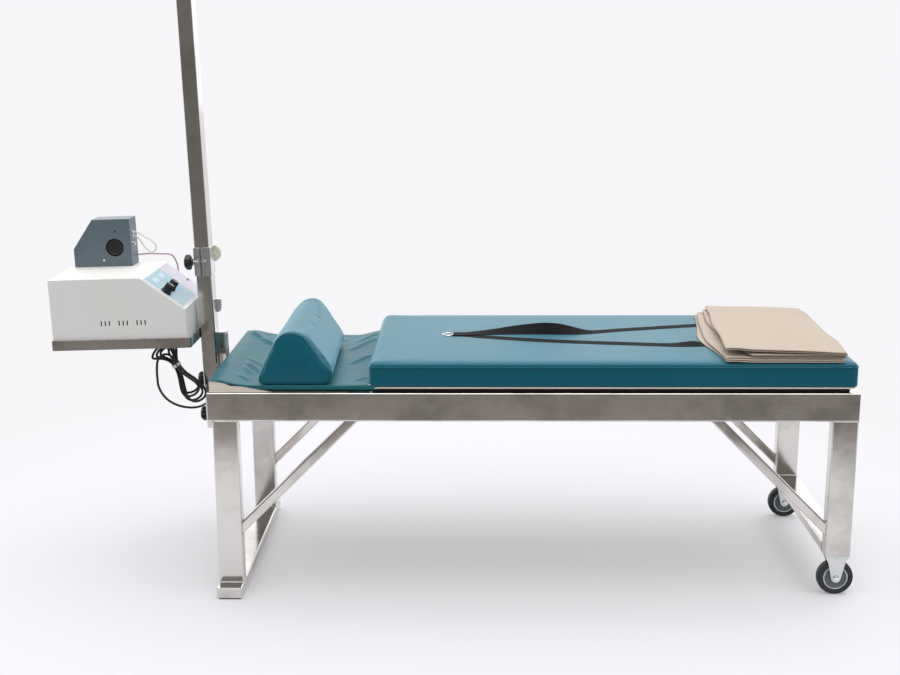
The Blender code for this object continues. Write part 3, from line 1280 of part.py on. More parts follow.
def build_signal_cable(mast_frame):
    """A cable from the head's right side over the rear edge of the case to a plug on its rear."""
    rear = CASE_DEPTH / 2
    plug_x = CASE_RIGHT - PLUG_ALONG
    plug_z = CASE_BOTTOM + PLUG_RISE
    body = [
        (SEAT_GAP, PLUG_RADIUS + 0.002),
        (0.006, PLUG_RADIUS + 0.002),
        (0.006, PLUG_RADIUS),
        (0.7 * PLUG_LENGTH, PLUG_RADIUS),
        (PLUG_LENGTH, 0.6 * PLUG_RADIUS),
    ]
    add_piece("signal_plug", turned(body, 1, 16), "grey_plastic", (plug_x, rear, plug_z), mast_frame)
    start = np.array((HEAD_RIGHT + SEAT_GAP, HEAD_REAR - CABLE_REAR_INSET, CASE_TOP + CABLE_RISE))
    end = np.array((plug_x, rear + PLUG_LENGTH + SEAT_GAP, plug_z))
    route = [
        start,
        start + (0.006, 0.0, 0.0),
        start + (0.036, 0.004, 0.001),
        start + (0.064, 0.020, -0.003),
        (plug_x - 0.014, end[1] + 0.006, start[2] - 0.012),
        (plug_x - 0.003, end[1] + 0.019, start[2] - 0.036),
        (plug_x, end[1] + 0.022, plug_z + 0.026),
        (plug_x, end[1] + 0.018, plug_z + 0.009),
        (plug_x, end[1] + 0.006, plug_z),
        end,
    ]
    cord("signal_cable", smooth_route(route, 2 * CABLE_DIAMETER), CABLE_DIAMETER, "mauve_cable", mast_frame)


# Mains cord


def hank_path():
    """The tied hank as one path of lobes above and below the tie.

    Each lobe is drawn in at the waist: along = reach * cos(t), across = sin(t) * (waist + swell * cos(t) ** 2).
    Each turn lies one step in front of the last, and climbs that step on the run back up from a lower lobe.
    """
    tie = np.array(HANK_TIE) + (HEAD_END, 0)
    per_lobe = 8 * HANK_POINTS_PER_LOOP // 2
    depth = -GLAND_FORWARD
    path = []
    for turn, (reach, swell) in enumerate(HANK_LOWER):
        t = np.linspace(0, math.pi, per_lobe, endpoint=False)
        climb = np.clip((t - 0.70 * math.pi) / (0.28 * math.pi), 0, 1)
        climb = climb * climb * (3 - 2 * climb)
        path.append(lobe(tie, reach, swell, 0.0, t, depth - HANK_STEP * climb, 1))
        depth -= HANK_STEP
        reach, swell, fan = HANK_UPPER[turn]
        span = math.pi if turn + 1 < len(HANK_LOWER) else math.pi / 2
        t = np.linspace(0, span, per_lobe, endpoint=False)
        path.append(lobe(tie, reach, swell, math.radians(fan), t, np.full(len(t), depth), -1))
    return np.vstack(path)


def lobe(tie, reach, swell, fan, t, depth, way):
    """One lobe of the hank, below the tie for way 1 and above it for way -1."""
    along = way * reach * np.sin(t)
    across = -way * np.cos(t) * (HANK_WAIST + swell * np.sin(t) ** 2)
    turn = HANK_AXIS + fan * np.sin(t) ** 2
    x = tie[0] + along * np.cos(turn) - across * np.sin(turn)
    z = tie[1] + along * np.sin(turn) + across * np.cos(turn)
    return np.stack([x, depth, z], axis=1)


def least_self_gap(path, diameter):
    """Least gap between stretches of a cord that lie more than five diameters apart along it."""
    travelled = np.concatenate([[0], np.cumsum(np.linalg.norm(np.diff(path, axis=0), axis=1))])
    apart = np.linalg.norm(path[:, None] - path[None], axis=2)
    far = np.abs(travelled[:, None] - travelled[None]) > 5 * diameter
    return apart[far].min() - diameter


def build_mains_cord(mast_frame):
    """The hank under the tray, the loop that runs over the lower knob, and the plug behind the mast."""
    bpy.context.view_layer.update()
    drop = GLAND_LENGTH + GLAND_FLANGE + 2 * SEAT_GAP
    gland_x = TRAY_RIGHT - GLAND_FROM_TRAY_END
    down = mast_frame.matrix_world.to_3x3() @ Vector((0, 0, -1))
    tip = mast_frame.matrix_world @ Vector((gland_x, -GLAND_FORWARD, TRAY_BOTTOM - drop))
    hank = hank_path()
    lead = np.array(tip + down * CORD_DIAMETER)
    pull = np.linalg.norm(hank[0] - lead)
    entry = (hank[1] - hank[0]) / np.linalg.norm(hank[1] - hank[0]) * pull
    t = np.linspace(0, 1, 24, endpoint=False)[:, None]
    bend = lead * (2 * t**3 - 3 * t**2 + 1) + np.array(down) * pull * (t**3 - 2 * t**2 + t)
    bend += hank[0] * (3 * t**2 - 2 * t**3) + entry * (t**3 - t**2)
    heading = (hank[-1] - hank[-6]) / np.linalg.norm(hank[-1] - hank[-6])
    whole = np.vstack([bend, hank])
    last = hank[-1] + heading * CORD_DIAMETER
    loop = np.linalg.norm(np.diff(hank, axis=0), axis=1).sum() / (len(HANK_LOWER) - 0.25)
    hank_points = np.vstack([tip, evenly(whole, loop / HANK_POINTS_PER_LOOP), last])
    print(f"hank: least gap to itself {1000 * least_self_gap(evenly(whole, 0.002), CORD_DIAMETER):.2f} mm")
    cord("cord_hank", hank_points, CORD_DIAMETER, "black_plastic", resolution=1)
    tail_start = last + heading * SEAT_GAP
    hanging = np.array(TAIL_POINTS) + (HEAD_END, 0, 0)
    route = np.vstack([tail_start, tail_start + heading * CORD_DIAMETER, hanging])
    tail = smooth_route(route, CORD_STEP)
    cord("cord_tail", tail, CORD_DIAMETER, "black_plastic")
    length = np.linalg.norm(np.diff(whole, axis=0), axis=1).sum()
    length += np.linalg.norm(np.diff(tail, axis=0), axis=1).sum()
    print(f"mains cord: {length:.3f} m")
    build_mains_plug(hanging[-1] - (0, 0, SEAT_GAP))


def build_mains_plug(top):
    """A moulded plug that hangs from the cord, with two flat pins."""
    neck = rounded_rectangle(0.012, 0.012, 0.004)
    body = rounded_rectangle(MAINS_PLUG_BREADTH, MAINS_PLUG_DEPTH, 0.005)
    rings = [
        lift(neck, 2, 0.0),
        lift(neck, 2, -0.25 * MAINS_PLUG_LENGTH),
        lift(body * 0.86, 2, -0.45 * MAINS_PLUG_LENGTH),
        lift(body, 2, -0.7 * MAINS_PLUG_LENGTH),
        lift(body, 2, -MAINS_PLUG_LENGTH),
    ]
    plug = add_piece("mains_plug", loft(rings), "black_plastic", top)
    for side in (-1, 1):
        middle = side * PIN_SPACING / 2
        low = (middle - PIN_THICKNESS / 2, -PIN_BREADTH / 2, -MAINS_PLUG_LENGTH - PIN_LENGTH)
        high = (middle + PIN_THICKNESS / 2, PIN_BREADTH / 2, -0.9 * MAINS_PLUG_LENGTH)
        combine(plug, box(low, high), "UNION")


def main():
    """Build the whole table."""
    clear_scene()
    build_frame()
    build_casters()
    build_deck()
    build_harness()
    mast_frame = add_empty("mast_frame", (HEAD_END - SEAT_GAP, 0, RAIL_BOTTOM), (0, -MAST_LEAN, 0))
    build_mast(mast_frame)
    build_unit(mast_frame)
    build_mains_cord(mast_frame)


main()
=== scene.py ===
"""Looks of the traction decompression table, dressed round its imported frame.

Each new piece is a surface worked out as whole arrays, in metres and in the frame's own axes:
+X towards the foot end, +Y to the rear, +Z up, origin on the floor under the middle of the object.
"""

from __future__ import annotations

import logging
import math
from dataclasses import dataclass, field, replace
from enum import Enum
from functools import lru_cache
from typing import Union

import bmesh
import bpy
import numpy as np
from mathutils import Matrix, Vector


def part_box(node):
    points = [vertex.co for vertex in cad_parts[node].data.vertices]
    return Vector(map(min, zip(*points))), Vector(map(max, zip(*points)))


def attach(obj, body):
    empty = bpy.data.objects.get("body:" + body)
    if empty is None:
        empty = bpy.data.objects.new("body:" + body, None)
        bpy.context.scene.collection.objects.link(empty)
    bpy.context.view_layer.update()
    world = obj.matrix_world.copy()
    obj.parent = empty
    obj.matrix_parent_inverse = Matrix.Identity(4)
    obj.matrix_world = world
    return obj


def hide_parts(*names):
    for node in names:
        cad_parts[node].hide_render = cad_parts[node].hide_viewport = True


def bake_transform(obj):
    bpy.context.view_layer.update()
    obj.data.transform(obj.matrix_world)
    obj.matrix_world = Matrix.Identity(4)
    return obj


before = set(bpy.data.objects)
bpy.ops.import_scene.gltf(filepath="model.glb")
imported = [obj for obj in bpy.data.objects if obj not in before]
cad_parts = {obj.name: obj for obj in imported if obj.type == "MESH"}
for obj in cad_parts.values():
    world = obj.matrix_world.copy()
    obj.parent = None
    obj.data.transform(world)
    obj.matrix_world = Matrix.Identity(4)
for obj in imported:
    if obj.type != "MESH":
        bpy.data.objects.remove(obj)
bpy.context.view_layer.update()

Array = np.ndarray
Pair = tuple[float, float]
Colour = tuple[float, float, float]
Point = tuple[float, float, float]
Value = Union["Sock", float]

TABLE = "table"
GAP = 0.0003
SHARP_ANGLE = 32.0
ALL_SMOOTH = 180.0
FLAT_ANGLE = math.radians(1.0)
LOG = logging.getLogger("traction_table")


# Shader expressions


class Sock:
    """A shader socket that takes part in Python expressions."""

    def __init__(self, graph: Graph, socket: bpy.types.NodeSocket) -> None:
        """Wrap one output socket of a graph."""
        self.graph = graph
        self.socket = socket

    def __add__(self, other: Value) -> Sock:
        """Sum."""
        return self.graph.math("ADD", self, other)

    __radd__ = __add__

    def __sub__(self, other: Value) -> Sock:
        """Difference."""
        return self.graph.math("SUBTRACT", self, other)

    def __rsub__(self, other: Value) -> Sock:
        """Difference from a number."""
        return self.graph.math("SUBTRACT", other, self)

    def __mul__(self, other: Value) -> Sock:
        """Product."""
        return self.graph.math("MULTIPLY", self, other)

    __rmul__ = __mul__

    def __truediv__(self, other: Value) -> Sock:
        """Quotient."""
        return self.graph.math("DIVIDE", self, other)

    def __abs__(self) -> Sock:
        """Size without its sign."""
        return self.graph.math("ABSOLUTE", self)

    def most(self, other: Value) -> Sock:
        """The larger of two values."""
        return self.graph.math("MAXIMUM", self, other)

    def least(self, other: Value) -> Sock:
        """The smaller of two values."""
        return self.graph.math("MINIMUM", self, other)

    def wave(self, period: float) -> Sock:
        """A sine of this value with the given period."""
        return self.graph.math("SINE", self * (2 * math.pi / period))

    def step(self, low: float, high: float) -> Sock:
        """A smooth step from 0 at low to 1 at high."""
        values = {0: self, 1: low, 2: high}
        return self.graph.make("ShaderNodeMapRange", {"interpolation_type": "SMOOTHSTEP"}, values)

    def band(self, middle: float, half: float, soft: float) -> Sock:
        """1 within half of a middle value, falling to 0 over a soft edge."""
        return 1 - abs(self - middle).step(half, half + soft)


class Graph:
    """A node tree that is written as expressions."""

    def __init__(self, tree: bpy.types.NodeTree) -> None:
        """Start on a node tree."""
        self.tree = tree

    def make(
        self, kind: str, settings: dict | None = None, inputs: dict | None = None, out: int | str = 0
    ) -> Sock:
        """Add any node.

        Args:
            kind: The node's type.
            settings: Its properties, set first.
            inputs: Values or links of its sockets, by name or number.
            out: The output to hand back.

        Returns:
            The chosen output.
        """
        node = self.tree.nodes.new(kind)
        for key, value in (settings or {}).items():
            setattr(node, key, value)
        for key, value in (inputs or {}).items():
            self.feed(node.inputs[key], value)
        return Sock(self, node.outputs[out])

    def feed(self, socket: bpy.types.NodeSocket, value: Value | Colour) -> None:
        """Link a socket, or set it; a colour of three numbers gets an alpha of 1."""
        if isinstance(value, Sock):
            self.tree.links.new(value.socket, socket)
        elif socket.type == "RGBA" and len(value) == 3:
            socket.default_value = (*value, 1.0)
        else:
            socket.default_value = value

    def math(self, operation: str, first: Value, second: Value | None = None) -> Sock:
        """A Math node on one or two values."""
        values = {0: first} if second is None else {0: first, 1: second}
        return self.make("ShaderNodeMath", {"operation": operation}, values)

    def mix(self, share: Value, first: Sock | Colour, second: Sock | Colour) -> Sock:
        """A blend of two colours."""
        return self.make("ShaderNodeMix", {"data_type": "RGBA"}, {0: share, 6: first, 7: second}, out=2)

    def scaled(self, amount: Sock, colour: Colour) -> Sock:
        """A colour times a value."""
        return self.make("ShaderNodeVectorMath", {"operation": "SCALE"}, {0: colour, "Scale": amount})

    def place(self) -> Sock:
        """Object coordinates, in metres."""
        return self.make("ShaderNodeTexCoord", out="Object")

    def flat(self) -> Sock:
        """The piece's own UV map, in metres."""
        return self.make("ShaderNodeTexCoord", out="UV")

    def mapped(self, where: Sock, scale: Point = (1, 1, 1), turn: Point = (0, 0, 0)) -> Sock:
        """Coordinates that are scaled and then turned."""
        return self.make("ShaderNodeMapping", None, {"Vector": where, "Scale": scale, "Rotation": turn})

    def along(self, where: Sock, axis: Point, origin: Point = (0, 0, 0)) -> Sock:
        """Distance along an axis from an origin."""
        start = float(np.dot(axis, origin))
        dot = {"operation": "DOT_PRODUCT"}
        return self.make("ShaderNodeVectorMath", dot, {0: where, 1: tuple(axis)}, out="Value") - start

    def parts(self, where: Sock) -> tuple[Sock, Sock, Sock]:
        """The three parts of a vector."""
        first = self.make("ShaderNodeSeparateXYZ", None, {0: where})
        node = first.socket.node
        return first, Sock(self, node.outputs[1]), Sock(self, node.outputs[2])

    def noise(self, where: Sock, scale: float, detail: float = 2.0, roughness: float = 0.5) -> Sock:
        """Noise with about scale grains to the metre."""
        inputs = {"Vector": where, "Scale": scale, "Detail": detail, "Roughness": roughness}
        return self.make("ShaderNodeTexNoise", None, inputs)

    def cells(self, where: Sock, scale: float, feature: str = "F1") -> Sock:
        """Distance to the nearest of scattered points, with about scale cells to the metre."""
        inputs = {"Vector": where, "Scale": scale}
        return self.make("ShaderNodeTexVoronoi", {"feature": feature}, inputs, "Distance")

    def bump(self, height: Sock, depth: float, below: Sock | None = None) -> Sock:
        """A normal from a height of 0 to 1 that stands for a depth in metres, over another normal."""
        inputs = {"Height": height, "Distance": depth, "Strength": 1.0}
        if below is not None:
            inputs["Normal"] = below
        return self.make("ShaderNodeBump", None, inputs)

    def ray(self, kind: str) -> Sock:
        """One of the Light Path outputs."""
        return self.make("ShaderNodeLightPath", out=kind)

    def principled(
        self, colour: Sock, rough: Value, normal: Sock | None = None, others: dict | None = None
    ) -> None:
        """Set or link the tree's Principled shader.

        Args:
            colour: Its base colour.
            rough: Its roughness.
            normal: Its normal, if it isn't the mesh's own.
            others: More sockets by name.
        """
        inputs = self.tree.nodes["Principled BSDF"].inputs
        usual = {"Base Color": colour, "Roughness": rough, **(others or {})}
        if normal is not None:
            usual["Normal"] = normal
        for name, value in usual.items():
            self.feed(inputs[name], value)


# Finishes


class Grain(Enum):
    """Which way the brushing of a steel piece runs: its stretch and its turn about Y."""

    ALONG_X = ((4.0, 420.0, 420.0), 0.0)
    ALONG_Y = ((420.0, 4.0, 420.0), 0.0)
    ALONG_Z = ((420.0, 420.0, 4.0), 0.0)
    RISING = ((4.0, 420.0, 420.0), math.pi / 4)
    FALLING = ((4.0, 420.0, 420.0), -math.pi / 4)


@dataclass(frozen=True)
class Finish:
    """A finish: the record's slot that it belongs to and its main colour in linear light."""

    slot: str
    colour: Colour

    def paint(self, graph: Graph) -> None:
        """Build the finish's nodes."""
        raise NotImplementedError

    def shade(self, share: float) -> Colour:
        """The main colour, darker or lighter."""
        return tuple(min(1.0, share * part) for part in self.colour)


@dataclass(frozen=True)
class BrushedSteel(Finish):
    """Satin stainless tube: fine brushing, smudges, faint waves in the sheet and broad dark patches of
    painted reflection.
    """

    grain: Grain = Grain.ALONG_X
    roughness: float = 0.15

    def paint(self, graph: Graph) -> None:
        """Streaks drive roughness and bump; broad clouds darken the colour in patches as painted
        reflection; another broad noise drives the waviness.
        """
        where = graph.place()
        stretch, turn = self.grain.value
        turned = graph.mapped(where, turn=(0, turn, 0))
        streak = graph.noise(graph.mapped(turned, stretch), 1.0, 3.0)
        fine = graph.noise(graph.mapped(turned, tuple(3.5 * part for part in stretch)), 1.0, 2.0)
        cloud = graph.noise(where, 4.2, 4.0, 0.6)
        smudge = graph.noise(where, 21.0, 5.0, 0.62)
        # Broad clouds darken the steel's colour in patches: painted reflection of darker surroundings.
        colour = graph.mix(cloud.step(0.44, 0.66) * 0.75, self.colour, self.shade(0.64))
        colour = graph.mix(streak.step(0.45, 0.85) * 0.14, colour, self.shade(1.12))
        colour = graph.mix(smudge.step(0.62, 0.80) * 0.16, colour, self.shade(0.74))
        rough = self.roughness + (streak - 0.5) * 0.08 + smudge.step(0.5, 0.75) * 0.06
        waves = graph.bump(graph.noise(where, 8.0, 2.0), 0.0009)
        normal = graph.bump(streak * 0.6 + fine * 0.4, 0.000012, waves)
        graph.principled(colour, rough, normal, {"Metallic": 1.0})


@dataclass(frozen=True)
class ZincPlate(Finish):
    """Bright zinc or chrome plate with faint spangle and dull patches."""

    roughness: float = 0.3

    def paint(self, graph: Graph) -> None:
        """Cells give the spangle, noise the dull patches."""
        where = graph.place()
        spangle = graph.cells(where, 260.0)
        patch = graph.noise(where, 38.0, 4.0)
        colour = graph.mix(spangle.step(0.2, 0.9) * 0.30, self.colour, self.shade(0.84))
        colour = graph.mix(patch.step(0.55, 0.8) * 0.35, colour, self.shade(0.74))
        rough = self.roughness + (patch - 0.5) * 0.24
        normal = graph.bump(graph.noise(where, 520.0, 2.0), 0.00006)
        graph.principled(colour, rough, normal, {"Metallic": 0.9})


@dataclass(frozen=True)
class Vinyl(Finish):
    """Upholstery vinyl: pebble grain, soft creases and a worn bloom."""

    roughness: float = 0.4
    bloom: Colour = (0.2, 0.3, 0.33)
    crease: float = 0.0012
    sheen: float = 0.0
    specular: float = 0.25
    # Height below which the vinyl is painted near black, a painted shade; 0 for none.
    painted_shade_top: float = 0.0

    def paint(self, graph: Graph) -> None:
        """Cells give the pebbles, stretched noise the creases, broad noise the bloom, height a painted
        shade low on the hem.
        """
        where = graph.place()
        pebble = graph.cells(where, 620.0, "SMOOTH_F1")
        pore = graph.noise(where, 1500.0, 2.0)
        slack = graph.noise(graph.mapped(where, (9.0, 22.0, 16.0)), 1.0, 3.0)
        broad = graph.noise(where, 2.6, 3.0)
        colour = graph.mix(broad.step(0.35, 0.75) * 0.22, self.colour, self.bloom)
        colour = graph.mix(pebble.step(0.25, 0.7) * 0.16, colour, self.shade(0.72))
        # Below that height the colour turns near black: painted shade for the dark gap under the sheet's
        # hem.
        if self.painted_shade_top:
            height = graph.along(where, (0, 0, 1))
            soil_and_painted_shade = 1 - height.step(self.painted_shade_top - 0.004, self.painted_shade_top)
            colour = graph.mix(soil_and_painted_shade, colour, self.shade(0.08))
        rough = self.roughness + (broad - 0.5) * 0.12 + (pebble - 0.4) * 0.06
        creases = graph.bump(slack, self.crease)
        normal = graph.bump(pore * 0.2 - pebble, 0.00022, creases)
        gloss = {"Specular IOR Level": self.specular}
        bloom = {"Sheen Weight": self.sheen, "Sheen Roughness": 0.35, "Sheen Tint": (0.40, 0.82, 1.0)}
        graph.principled(colour, rough, normal, gloss | bloom)


@dataclass(frozen=True)
class Canvas(Finish):
    """Plain-woven cotton canvas with slubs, creases and a stitched hem."""

    size: Pair = (1.5, 0.6)
    pitch: float = 0.0011

    def paint(self, graph: Graph) -> None:
        """Warp and weft are sines of the UV in metres; the hem's stitches run 9 mm inside the cut edges."""
        u, v, _ = graph.parts(graph.flat())
        warp = u.wave(self.pitch)
        weft = v.wave(self.pitch)
        weave = (warp * weft) * 0.5 + 0.5
        slub = graph.noise(graph.mapped(graph.flat(), (6.0, 700.0, 1.0)), 1.0, 2.0)
        slub = slub + graph.noise(graph.mapped(graph.flat(), (700.0, 6.0, 1.0)), 1.0, 2.0)
        crumple = graph.noise(graph.place(), 24.0, 3.0)
        broad = graph.noise(graph.place(), 6.0, 3.0)
        edge = u.least(self.size[0] - u).least(v.least(self.size[1] - v))
        dashes = (u + v).wave(0.0042).step(-0.25, 0.0)
        seam = edge.band(0.009, 0.0006, 0.0005)
        colour = graph.mix(weave * 0.35, self.colour, self.shade(0.76))
        colour = graph.mix((slub - 0.6).step(0.2, 0.7) * 0.35, colour, self.shade(1.14))
        colour = graph.mix(broad.step(0.45, 0.75) * 0.22, colour, self.shade(0.82))
        colour = graph.mix(seam * dashes, colour, self.shade(1.25))
        creases = graph.bump(crumple, 0.0016)
        normal = graph.bump(weave * 0.6 + slub * 0.3 - seam * (1 - dashes), 0.0003, creases)
        graph.principled(colour, 0.92, normal, {"Sheen Weight": 0.2})


@dataclass(frozen=True)
class Webbing(Finish):
    """Woven strap: chevron ribs across the band and a paler worn ridge along each edge."""

    width: float = 0.036

    def paint(self, graph: Graph) -> None:
        """Ribs are sines of the UV: u along the band and v across it."""
        u, v, _ = graph.parts(graph.flat())
        chevron = (u + abs(v.wave(self.width / 3)) * 0.0022).wave(0.0026)
        yarn = v.wave(0.0019)
        rib = (chevron * 0.6 + yarn * 0.4) * 0.5 + 0.5
        fluff = graph.noise(graph.place(), 420.0, 3.0)
        edge = abs(v - self.width / 2).step(0.40 * self.width, 0.47 * self.width)
        colour = graph.mix(rib * 0.7, self.shade(0.6), self.shade(1.4))
        colour = graph.mix(edge * fluff * 0.4, colour, self.shade(2.0))
        normal = graph.bump(rib + fluff * 0.3, 0.0004)
        graph.principled(colour, 0.70, normal, {"Specular IOR Level": 0.10})


@dataclass(frozen=True)
class Moulded(Finish):
    """Moulded plastic or rubber: fine texture, dust in the hollows and scuffs."""

    roughness: float = 0.45
    grain: float = 900.0
    depth: float = 0.00008
    dust: Colour = (0.16, 0.16, 0.16)

    def paint(self, graph: Graph) -> None:
        """Fine noise gives the texture; coarser noise gives dust and scuffs."""
        where = graph.place()
        fine = graph.noise(where, self.grain, 2.0)
        dusty = graph.noise(where, 60.0, 4.0, 0.6)
        scuff = graph.noise(graph.mapped(where, (120.0, 700.0, 300.0)), 1.0, 3.0)
        colour = graph.mix(dusty.step(0.5, 0.8) * 0.22, self.colour, self.dust)
        colour = graph.mix(scuff.step(0.66, 0.8) * 0.20, colour, self.dust)
        rough = self.roughness + (dusty - 0.5) * 0.20 + scuff.step(0.6, 0.8) * 0.08
        graph.principled(colour, rough, graph.bump(fine, self.depth))


@dataclass(frozen=True)
class PowderCoat(Finish):
    """Baked paint with orange peel, slight yellowing and grime near the base."""

    roughness: float = 0.42
    peel: float = 520.0
    grime_height: float = 0.0

    def paint(self, graph: Graph) -> None:
        """Soft cells give the orange peel; noise and height give the yellowing and grime."""
        where = graph.place()
        peel = graph.cells(where, self.peel, "SMOOTH_F1")
        broad = graph.noise(where, 7.0, 3.0)
        speck = graph.noise(where, 340.0, 3.0)
        height = graph.along(where, (0, 0, 1), (0, 0, self.grime_height))
        grime = (1 - height.step(0.0, 0.05)) * graph.noise(where, 45.0, 4.0).step(0.4, 0.75)
        warm = (self.colour[0], 0.97 * self.colour[1], 0.90 * self.colour[2])
        colour = graph.mix(broad.step(0.4, 0.75) * 0.6, self.colour, warm)
        colour = graph.mix(grime * 0.35, colour, self.shade(0.62))
        colour = graph.mix(speck.step(0.72, 0.78) * 0.25, colour, self.shade(0.6))
        rough = self.roughness + (broad - 0.5) * 0.14 + grime * 0.15
        graph.principled(colour, rough, graph.bump(peel, 0.00018))


@dataclass(frozen=True)
class HammeredPaint(Finish):
    """Hammer-finish enamel on the traction head: dimples with paler rims."""

    def paint(self, graph: Graph) -> None:
        """Two sizes of cells overlap into dimples; edges of the cells are paler."""
        where = graph.place()
        large = graph.cells(where, 210.0, "SMOOTH_F1")
        small = graph.cells(where, 480.0)
        broad = graph.noise(where, 16.0, 4.0)
        dimple = large * 0.7 + small * 0.3
        colour = graph.mix(dimple.step(0.25, 0.75) * 0.3, self.shade(0.92), self.shade(1.25))
        colour = graph.mix(broad.step(0.45, 0.8) * 0.30, colour, self.shade(0.7))
        rough = 0.36 + (broad - 0.5) * 0.18
        normal = graph.bump(dimple, 0.0003)
        graph.principled(colour, rough, normal)


@dataclass(frozen=True)
class Plywood(Finish):
    """Birch plywood: plies along the edges, long grain on the faces."""

    ply: float = 0.0036

    def paint(self, graph: Graph) -> None:
        """Plies alternate with height; grain is noise drawn out along X."""
        where = graph.place()
        _, _, z = graph.parts(where)
        grain = graph.noise(graph.mapped(where, (7.0, 130.0, 130.0)), 1.0, 4.0, 0.6)
        pore = graph.noise(graph.mapped(where, (60.0, 1500.0, 1500.0)), 1.0, 2.0)
        wobble = graph.noise(where, 30.0, 2.0) * 0.0008
        plies = (z + wobble).wave(2 * self.ply).step(-0.3, 0.3)
        colour = graph.mix(grain.step(0.3, 0.75), self.colour, self.shade(0.84))
        colour = graph.mix(plies * 0.18, colour, self.shade(0.66))
        colour = graph.mix(pore.step(0.6, 0.8) * 0.25, colour, self.shade(0.6))
        rough = 0.62 + (grain - 0.5) * 0.2
        normal = graph.bump(grain * 0.6 + pore * 0.4, 0.00025)
        graph.principled(colour, rough, normal)


@dataclass(frozen=True)
class Braid(Finish):
    """Braided rope or ribbed cord sheath: crossing helices over the UV."""

    pitch: float = 0.006
    strands: int = 8
    depth: float = 0.0005
    roughness: float = 0.6

    def paint(self, graph: Graph) -> None:
        """Two sines of turn plus and minus length cross into a braid: u runs round, v along in metres."""
        u, v, _ = graph.parts(graph.flat())
        left = (u * self.strands + v / self.pitch).wave(1.0)
        right = (u * self.strands - v / self.pitch).wave(1.0)
        plait = left.most(right) * 0.5 + 0.5
        soil_and_painted_shade = graph.noise(graph.place(), 90.0, 4.0)
        colour = graph.mix(plait, self.shade(0.86), self.shade(1.04))
        colour = graph.mix(soil_and_painted_shade.step(0.45, 0.75) * 0.25, colour, self.shade(0.72))
        rough = self.roughness + (soil_and_painted_shade - 0.5) * 0.2
        normal = graph.bump(plait, self.depth)
        graph.principled(colour, rough, normal)


@dataclass(frozen=True)
class PanelFilm(Finish):
    """Printed overlay of the control panel: tinted fields, scale ticks round the dials, bare windows."""

    origin: Point = (0, 0, 0)
    down: Point = (1, 0, 0)
    half: Pair = (0.07, 0.143)
    dials: tuple[Pair, ...] = ()

    def ticks(self, graph: Graph, down: Sock, across: Sock, spot: Pair) -> Sock:
        """Ring of scale marks round one dial.

        Args:
            graph: The tree to build in.
            down: Distance down the slope.
            across: Distance across the panel.
            spot: The dial's place down and across.

        Returns:
            1 on a mark, else 0.
        """
        first = down - spot[0]
        second = across - spot[1]
        angle = graph.math("ARCTAN2", second, first)
        reach = graph.math("SQRT", first * first + second * second)
        ring = reach.band(0.0205, 0.0018, 0.0004)
        marks = angle.wave(2 * math.pi / 14).step(0.80, 0.90)
        return ring * marks

    def paint(self, graph: Graph) -> None:
        """Fields are soft boxes in the panel's own two directions."""
        where = graph.place()
        down = graph.along(where, self.down, self.origin)
        across = graph.along(where, (0, 1, 0))
        cloud = graph.noise(where, 30.0, 3.0)
        lavender = graph.mix(cloud.step(0.3, 0.7), (0.50, 0.47, 0.56), (0.58, 0.53, 0.60))
        teal = graph.mix(cloud.step(0.3, 0.7), (0.22, 0.42, 0.50), (0.30, 0.50, 0.54))
        sea = down.band(-0.035, 0.026, 0.006) * across.band(-0.045, 0.085, 0.010)
        colour = graph.mix(sea, lavender, teal)
        low = down.band(0.030, 0.036, 0.008) * across.band(-0.060, 0.085, 0.02)
        colour = graph.mix(low * 0.90, colour, (0.27, 0.43, 0.49))
        spot = down.band(0.021, 0.006, 0.004) * across.band(-0.012, 0.018, 0.006)
        colour = graph.mix(spot, colour, (0.12, 0.45, 0.58))
        window = down.band(-0.043, 0.008, 0.001) * (across + 0.005).band(0.0, 0.020, 0.001)
        window = window.most(down.band(-0.043, 0.008, 0.001) * across.band(-0.075, 0.020, 0.001))
        colour = graph.mix(window * 0.7, colour, (0.52, 0.68, 0.76))
        for dial in self.dials:
            colour = graph.mix(self.ticks(graph, down, across, dial), colour, (0.86, 0.90, 0.92))
        inside = (self.half[0] - abs(down)).least(self.half[1] - abs(across))
        colour = graph.mix(1 - inside.step(0.0022, 0.0030), colour, (0.82, 0.84, 0.86))
        normal = graph.bump(graph.noise(where, 1400.0, 2.0), 0.00003)
        rough = 0.34 + (cloud - 0.5) * 0.12
        graph.principled(colour, rough, normal)


@lru_cache(maxsize=None)
def material_of(finish: Finish) -> bpy.types.Material:
    """The one material of a finish."""
    material = bpy.data.materials.new(f"{finish.slot}_{len(bpy.data.materials)}")
    material.use_nodes = True
    finish.paint(Graph(material.node_tree))
    return material


STEEL = (0.70, 0.675, 0.645)
STEEL_X, STEEL_Y, STEEL_Z, STEEL_RISING, STEEL_FALLING = (
    BrushedSteel("stainless", STEEL, grain) for grain in Grain
)
WELD = ZincPlate("stainless", (0.58, 0.56, 0.53), 0.36)
ZINC = ZincPlate("zinc", (0.74, 0.75, 0.74), 0.34)
CHROME = ZincPlate("zinc", (0.80, 0.81, 0.81), 0.15)
GALVANISED = ZincPlate("zinc", (0.90, 0.90, 0.89), 0.52)
RUBBER = Moulded("rubber", (0.020, 0.020, 0.021), 0.75, 700.0, 0.00015)
TYRE = Moulded("tyre", (0.020, 0.023, 0.026), 0.58, 800.0, 0.00012, (0.10, 0.11, 0.12))
WHEEL_GREY = Moulded("wheel_plastic", (0.15, 0.18, 0.19), 0.48, 700.0, 0.00008, (0.30, 0.32, 0.33))
BLACK = Moulded("black_plastic", (0.010, 0.010, 0.011), 0.38, 900.0)
GREY = Moulded("grey_plastic", (0.33, 0.34, 0.36), 0.45, 900.0, 0.00006, (0.5, 0.5, 0.5))
